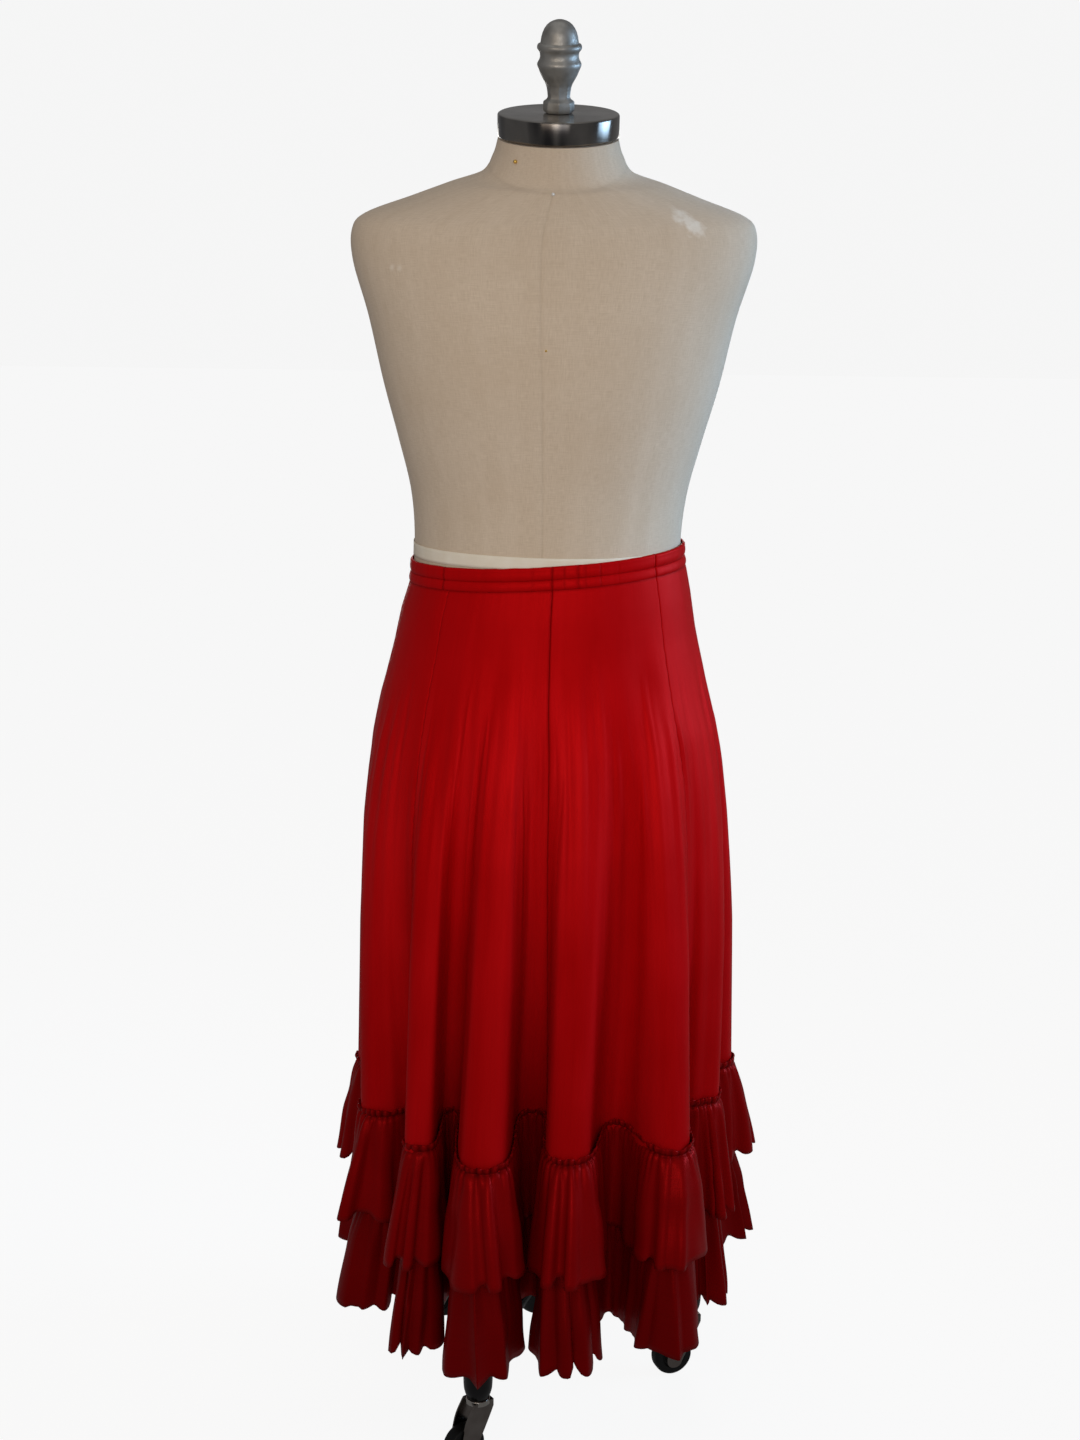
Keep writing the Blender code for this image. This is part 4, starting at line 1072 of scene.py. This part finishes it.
def lathe(name, profile, steps, material, place=Matrix.Identity(4), sides=None, ring=False):
    """A turned piece from (radius, height) points in millimetres, with flats between two heights where
    sides are given. A ring is hollow: its profile doesn't reach the axis."""
    points = []
    for radius, height in profile:
        for step in range(steps):
            angle = math.tau * step / steps
            reach = radius
            if sides and sides[1] <= height <= sides[2]:
                part = math.tau / sides[0]
                reach = radius * math.cos(part / 2) / math.cos((angle % part) - part / 2)
            points.append((reach * math.cos(angle), reach * math.sin(angle), height))
    item = mesh_object(name, np.array(points) * MM, tube_faces(len(profile), steps, ring), material)
    item.data.set_sharp_from_angle(angle=math.radians(40 if ring else 35))
    item.data.transform(place)
    return item


def mirrored(half):
    """Half a turned profile with its mirror image across the middle."""
    return half + [(radius, -height) for radius, height in half[::-1]]


NECK_LEAN = math.radians(10.5)
CAP_FOOT_Z = FORM[0][0] + 0.0003
CAP_HEIGHT = 0.0260
CAP_RADIUS = 65.6
NECK = Matrix.Translation((0, 0, CAP_FOOT_Z)) @ Matrix.Rotation(NECK_LEAN, 4, "X")

CAP_PROFILE = [
    (0.0, 26.2), (28.0, 26.2), (56.6, 26.2), (60.6, 26.1), (63.8, 25.8), (65.1, 25.0), (65.6, 23.8),
    (65.6, 14.0), (65.6, 3.6), (65.2, 2.4), (64.0, 1.4), (60.6, 1.0), (0.0, 1.0),
]
FINIAL_PROFILE = [
    (0.6, 95.7), (3.6, 95.3), (7.2, 94.2), (10.6, 92.5), (13.6, 90.0), (16.2, 86.5), (18.2, 82.3),
    (19.4, 78.0), (20.0, 74.5), (20.3, 72.3), (20.6, 71.5), (22.6, 70.7), (23.6, 69.3), (23.9, 67.5),
    (23.6, 65.7), (22.6, 64.1), (21.4, 62.8), (20.8, 61.0), (20.6, 58.8), (20.8, 56.6), (21.5, 54.6),
    (22.6, 52.8), (23.5, 51.0), (23.6, 49.2), (22.9, 47.2), (21.9, 44.8), (20.9, 42.4), (19.5, 39.3),
    (17.7, 35.7), (15.8, 32.4), (14.2, 29.3), (13.2, 26.4), (12.4, 21.5), (12.0, 17.2), (12.2, 15.8),
    (13.2, 14.2), (15.4, 12.8), (16.5, 11.6), (16.8, 10.0), (16.8, 4.0), (16.4, 2.2), (15.4, 1.0),
    (15.0, 0.4),
]
FINIAL_FLATS = (8, 0.0, 30.0)
# The cap's rim, where the steel gets painted dark reflection bands, is what lies within this of its full
# radius
RIM = 0.6


def head(steel, cast):
    cap = lathe("neck_cap_steel", CAP_PROFILE, 128, steel, NECK)
    # The rim is stored in the crease mask, where the steel paints its dark reflection bands
    mark_creases(cap.data, np.repeat([float(radius > CAP_RADIUS - RIM) for radius, _ in CAP_PROFILE], 128))
    finish_piece(cap, STAND, "steel", "neck_cap")
    seat = NECK @ Matrix.Translation((0, 0, CAP_HEIGHT + 0.0003))
    knob = lathe("finial_cast", FINIAL_PROFILE, 96, cast, seat, sides=FINIAL_FLATS)
    finish_piece(knob, STAND, "cast_alloy", "finial")


LEG_REACH = 0.1840
LEG_DEGREES = (-114.0, 9.0, 128.5)
SOCKET_PROFILE = [
    (8.0, 142.0), (11.0, 141.5), (14.0, 139.6), (15.8, 137.0), (16.5, 133.0), (16.9, 124.0),
    (17.2, 110.0), (17.1, 102.0), (16.8, 96.0), (16.4, 92.0), (15.2, 87.2), (14.0, 83.8), (13.0, 81.5),
    (12.0, 81.0), (7.0, 81.0),
]
HUB_PROFILE = [
    (12.8, 190.0), (20.5, 190.0), (23.5, 188.5), (26.2, 185.0), (28.5, 180.5), (29.7, 176.0),
    (30.0, 170.0), (30.0, 112.0), (29.7, 109.0), (28.5, 106.6), (26.2, 105.2), (12.8, 105.0),
]
POLE_PROFILE = [
    (11.5, 769.4), (12.2, 769.0), (12.5, 768.0), (12.5, 192.0), (12.5, 102.0), (12.2, 100.6),
    (11.2, 100.0),
]
ARM_RADIUS = 0.0110
ARM_POINTS = ((0.0305, 0.1484), (0.0700, 0.1492), (0.1250, 0.1420), (0.1780, 0.1255))


def arm(name, material, place):
    """A leg's bent bar."""
    curve = bpy.data.curves.new(name, "CURVE")
    curve.dimensions = "3D"
    curve.bevel_depth = ARM_RADIUS
    curve.bevel_resolution = 6
    curve.use_fill_caps = True
    curve.resolution_u = 10
    spline = curve.splines.new("NURBS")
    spline.points.add(len(ARM_POINTS) - 1)
    for point, (x, z) in zip(spline.points, ARM_POINTS):
        point.co = (x, 0.0, z, 1.0)
    spline.use_endpoint_u = True
    spline.order_u = 3
    shape = placed(name, curve)
    bpy.context.view_layer.update()
    mesh = bpy.data.meshes.new_from_object(shape.evaluated_get(bpy.context.evaluated_depsgraph_get()))
    bpy.data.objects.remove(shape, do_unlink=True)
    mesh.materials.clear()
    mesh.materials.append(material)
    mesh.shade_smooth()
    mesh.transform(place)
    return placed(name, mesh)


def stand(black):
    pole = lathe("pole_enamel", POLE_PROFILE, 48, black)
    finish_piece(pole, STAND, "black_iron", "pole")
    hub = lathe("hub_enamel", HUB_PROFILE, 64, black)
    finish_piece(hub, STAND, "black_iron", "hub")
    for index, degrees in enumerate(LEG_DEGREES):
        turn = Matrix.Rotation(math.radians(degrees), 4, "Z")
        socket = lathe(f"leg_socket_{index + 1}", SOCKET_PROFILE, 48, black,
                       turn @ Matrix.Translation((LEG_REACH, 0, 0)))
        finish_piece(socket, STAND, "black_iron", f"leg_{index + 1}")
        bar = arm(f"leg_bar_{index + 1}", black, turn)
        finish_piece(bar, STAND, "black_iron")


# Casters


WHEEL_RADIUS = 0.0250
TRAIL = 0.0200
TRAIL_DEGREES = (-144.0, -158.0, 150.0)
# Half the width inside a fork, and half the width over its cheeks, in millimetres as the profiles
FORK_INSIDE = 10.25
FORK_OUTSIDE = 12.25
FORK_BEVEL = 0.0004
FORK_SIDE = [(-14.0, 79.0), (-14.0, 70.0), (8.0, 24.0), (13.0, 14.0), (20.0, 11.5), (27.0, 14.0),
             (30.5, 24.0), (25.0, 56.0), (15.0, 76.0), (13.0, 79.0)]
CROWN_SIDE = [(-14.0, 76.6), (13.0, 76.6), (13.0, 79.0), (-14.0, 79.0)]
TYRE_PROFILE = mirrored([(15.0, 8.8), (20.5, 9.0), (22.6, 8.6), (24.0, 7.4), (24.8, 5.4), (25.0, 3.0)])
WHEEL_HUB_PROFILE = mirrored([(3.8, 9.9), (7.6, 9.9), (8.2, 9.0), (8.6, 6.6), (10.0, 5.8), (13.8, 6.0),
                              (14.8, 8.2), (15.2, 8.4)])
RACE_PROFILE = [(6.0, 80.8), (12.8, 80.7), (13.7, 80.2), (14.2, 79.3), (14.6, 77.0), (14.8, 74.8),
                (14.4, 74.2), (6.0, 74.2)]
STEM_PROFILE = [(5.0, 114.9), (5.5, 114.4), (5.5, 79.0), (5.0, 78.8)]
AXLE_PROFILE = mirrored([(3.0, FORK_OUTSIDE), (3.3, FORK_OUTSIDE - 0.3)])
BOLT_PROFILE = [(1.0, 1.6), (3.6, 1.4), (5.2, 0.6), (5.6, 0.0), (0.0, 0.0)]


def plate(name, outline, low, high, material):
    """A flat plate with its outline in XZ, between two places along Y, in millimetres."""
    points = [(x, y, z) for y in (low, high) for x, z in outline]
    return mesh_object(name, np.array(points) * MM, tube_faces(2, len(outline)), material)


def joined(name, items, material, bevel=0.0):
    """Several meshes as one piece."""
    shape = bmesh.new()
    for item in items:
        mesh = item.data
        mesh.transform(item.matrix_world)
        shape.from_mesh(mesh)
        bpy.data.objects.remove(item, do_unlink=True)
    mesh = bpy.data.meshes.new(name)
    shape.to_mesh(mesh)
    shape.free()
    mesh.materials.append(material)
    mesh.shade_smooth()
    mesh.set_sharp_from_angle(angle=math.radians(32))
    whole = placed(name, mesh)
    if bevel:
        edge = whole.modifiers.new("edge", "BEVEL")
        edge.width = bevel
        edge.segments = 2
        edge.limit_method = "ANGLE"
    return whole


def rounded(outline, count=5):
    """A smooth curve through an outline's points, with straight lines at its first and last two."""
    points = np.array(outline)
    size = len(points)
    smooth = []
    for index in range(size):
        p0, p1, p2, p3 = (points[(index + step) % size] for step in (-1, 0, 1, 2))
        if index in (0, size - 1) or index == size - 2:
            smooth.append(p1)
            continue
        for t in np.linspace(0, 1, count, endpoint=False):
            smooth.append(0.5 * ((2 * p1) + (p2 - p0) * t + (2 * p0 - 5 * p1 + 4 * p2 - p3) * t ** 2
                                 + (3 * p1 - p0 - 3 * p2 + p3) * t ** 3))
    return [tuple(point) for point in smooth]


def fork(index, steel, place):
    """Pressed steel fork: two cheeks, a crown, a stem and the axle's ends."""
    across = Matrix.Translation((TRAIL, 0, WHEEL_RADIUS)) @ Matrix.Rotation(math.pi / 2, 4, "X")
    out = Matrix.Translation((0, 0, FORK_OUTSIDE * MM))
    back = Matrix.Rotation(math.pi, 4, "X")
    side = rounded(FORK_SIDE)
    items = [
        plate("cheek", side, -FORK_OUTSIDE, -FORK_INSIDE, steel),
        plate("cheek", side, FORK_INSIDE, FORK_OUTSIDE, steel),
        plate("crown", CROWN_SIDE, 0.2 - FORK_OUTSIDE, FORK_OUTSIDE - 0.2, steel),
        lathe("stem", STEM_PROFILE, 24, steel),
        lathe("bolt", BOLT_PROFILE, 24, steel, across @ out),
        lathe("bolt", BOLT_PROFILE, 24, steel, across @ back @ out),
        lathe("axle", AXLE_PROFILE, 24, steel, across),
    ]
    whole = joined(f"fork_{index + 1}_steel", items, steel, FORK_BEVEL)
    whole.data.transform(place)
    finish_piece(whole, f"caster_fork_{index + 1}", "steel", f"fork_{index + 1}")


def race(index, steel, place):
    """The round bearing cup between the socket's foot and the fork's cheeks."""
    ring = lathe(f"fork_{index + 1}_race", RACE_PROFILE, 48, steel, place)
    finish_piece(ring, f"caster_fork_{index + 1}", "steel")


def wheel(index, rubber, core, place):
    """A wheel: a black tyre on a black moulded core."""
    across = place @ Matrix.Translation((TRAIL, 0, WHEEL_RADIUS)) @ Matrix.Rotation(math.pi / 2, 4, "X")
    tyre = lathe(f"wheel_{index + 1}_tyre", TYRE_PROFILE, 72, rubber, across, ring=True)
    finish_piece(tyre, f"caster_wheel_{index + 1}", "black_rubber", f"wheel_{index + 1}")
    middle = lathe(f"wheel_{index + 1}_core", WHEEL_HUB_PROFILE, 48, core, across, ring=True)
    finish_piece(middle, f"caster_wheel_{index + 1}", "black_rubber")


def casters(steel, bright, rubber, core):
    for index, degrees in enumerate(LEG_DEGREES):
        angle = math.radians(degrees)
        foot = Matrix.Translation((LEG_REACH * math.cos(angle), LEG_REACH * math.sin(angle), 0))
        place = foot @ Matrix.Rotation(math.radians(TRAIL_DEGREES[index]), 4, "Z")
        fork(index, steel, place)
        race(index, bright, place)
        wheel(index, rubber, core, place)


# Small things on the form


def pin(name, place, direction, radius, material, slot):
    """A dressmaking pin: a round head and a shank in the form."""
    angles = np.linspace(0.05, math.pi - 0.05, 12)
    ball = [(radius * math.sin(angle), radius * math.cos(angle)) for angle in angles]
    along = direction.to_track_quat("Z", "Y").to_matrix().to_4x4()
    raised_head = Matrix.Translation(place + direction * radius * MM * 0.6) @ along
    headed = lathe("head", ball, 20, material, raised_head)
    shank = lathe("shank", SHANK_PROFILE, 10, material, Matrix.Translation(place) @ along)
    return finish_piece(joined(name, [headed, shank], material), STAND, slot)


def on_surface(tree, x, z):
    """Place and outward direction on a piece's front, seen along +Y."""
    place, normal, _, _ = tree.ray_cast(Vector((x, -1.0, z)), Vector((0, 1, 0)))
    return place, normal


SHANK_PROFILE = [(0.3, 0.0), (0.3, -6.0)]
# Each pin's name, where it stands across and up, the radius of its head, and whether it is gold
PINS = (("gold_pin", -0.0446, 1.4749, 2.2, True), ("silver_pin", -0.0054, 1.4418, 1.8, False),
        ("brass_dot", -0.0104, 1.2846, 1.2, True))
WORN_PATCH = ((0.1290, -0.0720, 1.4262), (0.1373, -0.0745, 1.4175), (0.1445, -0.0770, 1.4090))
SCUFFS = ((-0.1737, -0.0840, 1.3655), (-0.1652, -0.0880, 1.3655))


def small_things(linen_piece, gold, silver):
    bpy.context.view_layer.update()
    tree = BVHTree.FromObject(linen_piece, bpy.context.evaluated_depsgraph_get())
    for name, x, z, radius, golden in PINS:
        place, normal = on_surface(tree, x, z)
        pin(name, place, normal, radius, gold if golden else silver, "steel")


# Stage


# Each light's name, place, target, size, spread in degrees, colour and power
LIGHTS = (
    ("window", (2.15, 0.20, 1.45), (0.0, 0.0, 1.00), (1.2, 0.9), 58, (0.45, 0.70, 1.0), 5.2),
    ("lamp", (-0.60, -2.3, 1.80), (0.0, 0.0, 1.12), (1.4, 0.8), 54, (1.0, 0.84, 0.68), 1.40),
    ("room", (0.15, -2.45, 1.60), (0.0, 0.0, 1.08), (1.4, 0.8), 54, (1.0, 0.97, 0.95), 1.55),
    ("ceiling", (0.0, -0.3, 2.9), (0.0, 0.0, 1.0), (1.6, 1.6), 110, (1.0, 0.98, 0.95), 1.5),
    ("behind", (-0.1, 2.5, 1.00), (0.0, 0.0, 0.95), (1.6, 1.0), 66, (1.0, 0.97, 0.93), 3.4),
)
ROOM_LIGHT = (0.90, 0.90, 0.92, 1.0)
ROOM_STRENGTH = 0.20
ROOM_SEEN = (0.918, 0.918, 0.918, 1.0)
FLOOR_REACH = 14


def area_light(name, place, target, size, spread, colour, power):
    data = bpy.data.lights.new(name, "AREA")
    data.shape = "RECTANGLE"
    data.size, data.size_y = size
    data.spread = math.radians(spread)
    data.color = colour
    data.energy = power
    light = placed(name, data)
    light.location = place
    light.rotation_euler = (Vector(target) - Vector(place)).to_track_quat("-Z", "Y").to_euler()


def stage():
    nodes = Nodes("pale_floor")
    nodes.set(Base_Color=(0.16, 0.16, 0.16), Roughness=1.0, Specular_IOR_Level=0.0,
              Emission_Color=(1.0, 1.0, 1.0), Emission_Strength=0.90)
    corners = [(x * FLOOR_REACH, y * FLOOR_REACH, 0) for x, y in ((-1, -1), (1, -1), (1, 1), (-1, 1))]
    floor = mesh_object("floor", corners, [(0, 1, 2, 3)], nodes.material, smooth=False)
    floor.visible_diffuse = False
    floor.visible_glossy = False

    world = bpy.data.worlds.new("room")
    world.use_nodes = True
    tree = world.node_tree
    background = tree.nodes["Background"]
    background.inputs["Color"].default_value = ROOM_LIGHT
    background.inputs["Strength"].default_value = ROOM_STRENGTH
    seen = tree.nodes.new("ShaderNodeBackground")
    seen.inputs["Color"].default_value = ROOM_SEEN
    rays = tree.nodes.new("ShaderNodeLightPath")
    mixed = tree.nodes.new("ShaderNodeMixShader")
    tree.links.new(rays.outputs["Is Camera Ray"], mixed.inputs["Fac"])
    tree.links.new(background.outputs["Background"], mixed.inputs[1])
    tree.links.new(seen.outputs["Background"], mixed.inputs[2])
    tree.links.new(mixed.outputs["Shader"], tree.nodes["World Output"].inputs["Surface"])
    bpy.context.scene.world = world

    for values in LIGHTS:
        area_light(*values)


def camera():
    """The photo's view: pitched down, a little rolled."""
    forward = Vector((0, math.cos(CAMERA_PITCH), -math.sin(CAMERA_PITCH)))
    right = Vector((1, 0, 0))
    up = right.cross(forward)
    x_axis = right * math.cos(CAMERA_ROLL) + up * math.sin(CAMERA_ROLL)
    y_axis = up * math.cos(CAMERA_ROLL) - right * math.sin(CAMERA_ROLL)
    data = bpy.data.cameras.new("camera")
    data.sensor_fit = "AUTO"
    data.sensor_width = CAMERA_SENSOR
    data.lens = CAMERA_LENS
    item = placed("camera", data)
    turned = Matrix((x_axis, y_axis, -forward)).transposed().to_4x4()
    item.matrix_world = Matrix.Translation(CAMERA_PLACE) @ turned
    bpy.context.scene.camera = item


def main():
    camera()
    stage()
    satin = satin_material("red_satin", 0.97, (420.0, 14.0, 1.0), 0.14, 0.46, 0.40)
    # The ruffles' satin is darker than the body's, partly for its crosswise grain and partly as painted
    # shade; the lower tier's is darker again, all painted shade
    upper_satin = satin_material("red_satin_upper", 0.60, (14.0, 420.0, 1.0), 0.24, 0.38, 0.0, 0.14)
    shaded_lower_satin = satin_material("red_satin_lower_shaded", 0.47, (14.0, 420.0, 1.0), 0.24, 0.38, 0.0, 0.14)
    gores(satin)
    waistband(satin)
    ruffles(UPPER_TIER, upper_satin)
    ruffles(LOWER_TIER, shaded_lower_satin)
    spots = [(place, 0.0125, 0.70) for place in WORN_PATCH] + [(place, 0.0045, 0.35) for place in SCUFFS]
    linen_piece = form(linen_material(spots))
    waist_tape(tape_material())
    steel = steel_material("steel", (0.36, 0.335, 0.30), (0.54, 0.50, 0.455), 0.15, 0.25, painted_reflection_bands=True)
    head(steel, cast_material())
    black = plain_material("black_enamel", (0.004, 0.0035, 0.0035), (0.008, 0.007, 0.007), 0.24, 90.0, 0.0001,
                           gloss=0.30)
    stand(black)
    fork_steel = steel_material("fork_steel", (0.14, 0.115, 0.10), (0.26, 0.23, 0.21), 0.12, 0.24,
                                (400.0, 400.0, 60.0))
    rubber = plain_material("black_rubber", (0.005, 0.005, 0.005), (0.009, 0.009, 0.009), 0.50, 300.0, 0.0002,
                            gloss=0.25)
    core = plain_material("black_core", (0.007, 0.0065, 0.0065), (0.012, 0.011, 0.011), 0.40, 120.0, 0.0001,
                          gloss=0.25)
    casters(fork_steel, steel, rubber, core)
    gold = plain_material("gold_pin", (0.72, 0.46, 0.10), (0.85, 0.60, 0.18), 0.25, 200.0, 0.00005, 1.0)
    silver = plain_material("silver_pin", (0.75, 0.75, 0.74), (0.86, 0.86, 0.85), 0.30, 200.0, 0.00005, 0.4)
    small_things(linen_piece, gold, silver)
    bpy.context.scene.view_settings.view_transform = "Standard"


main()
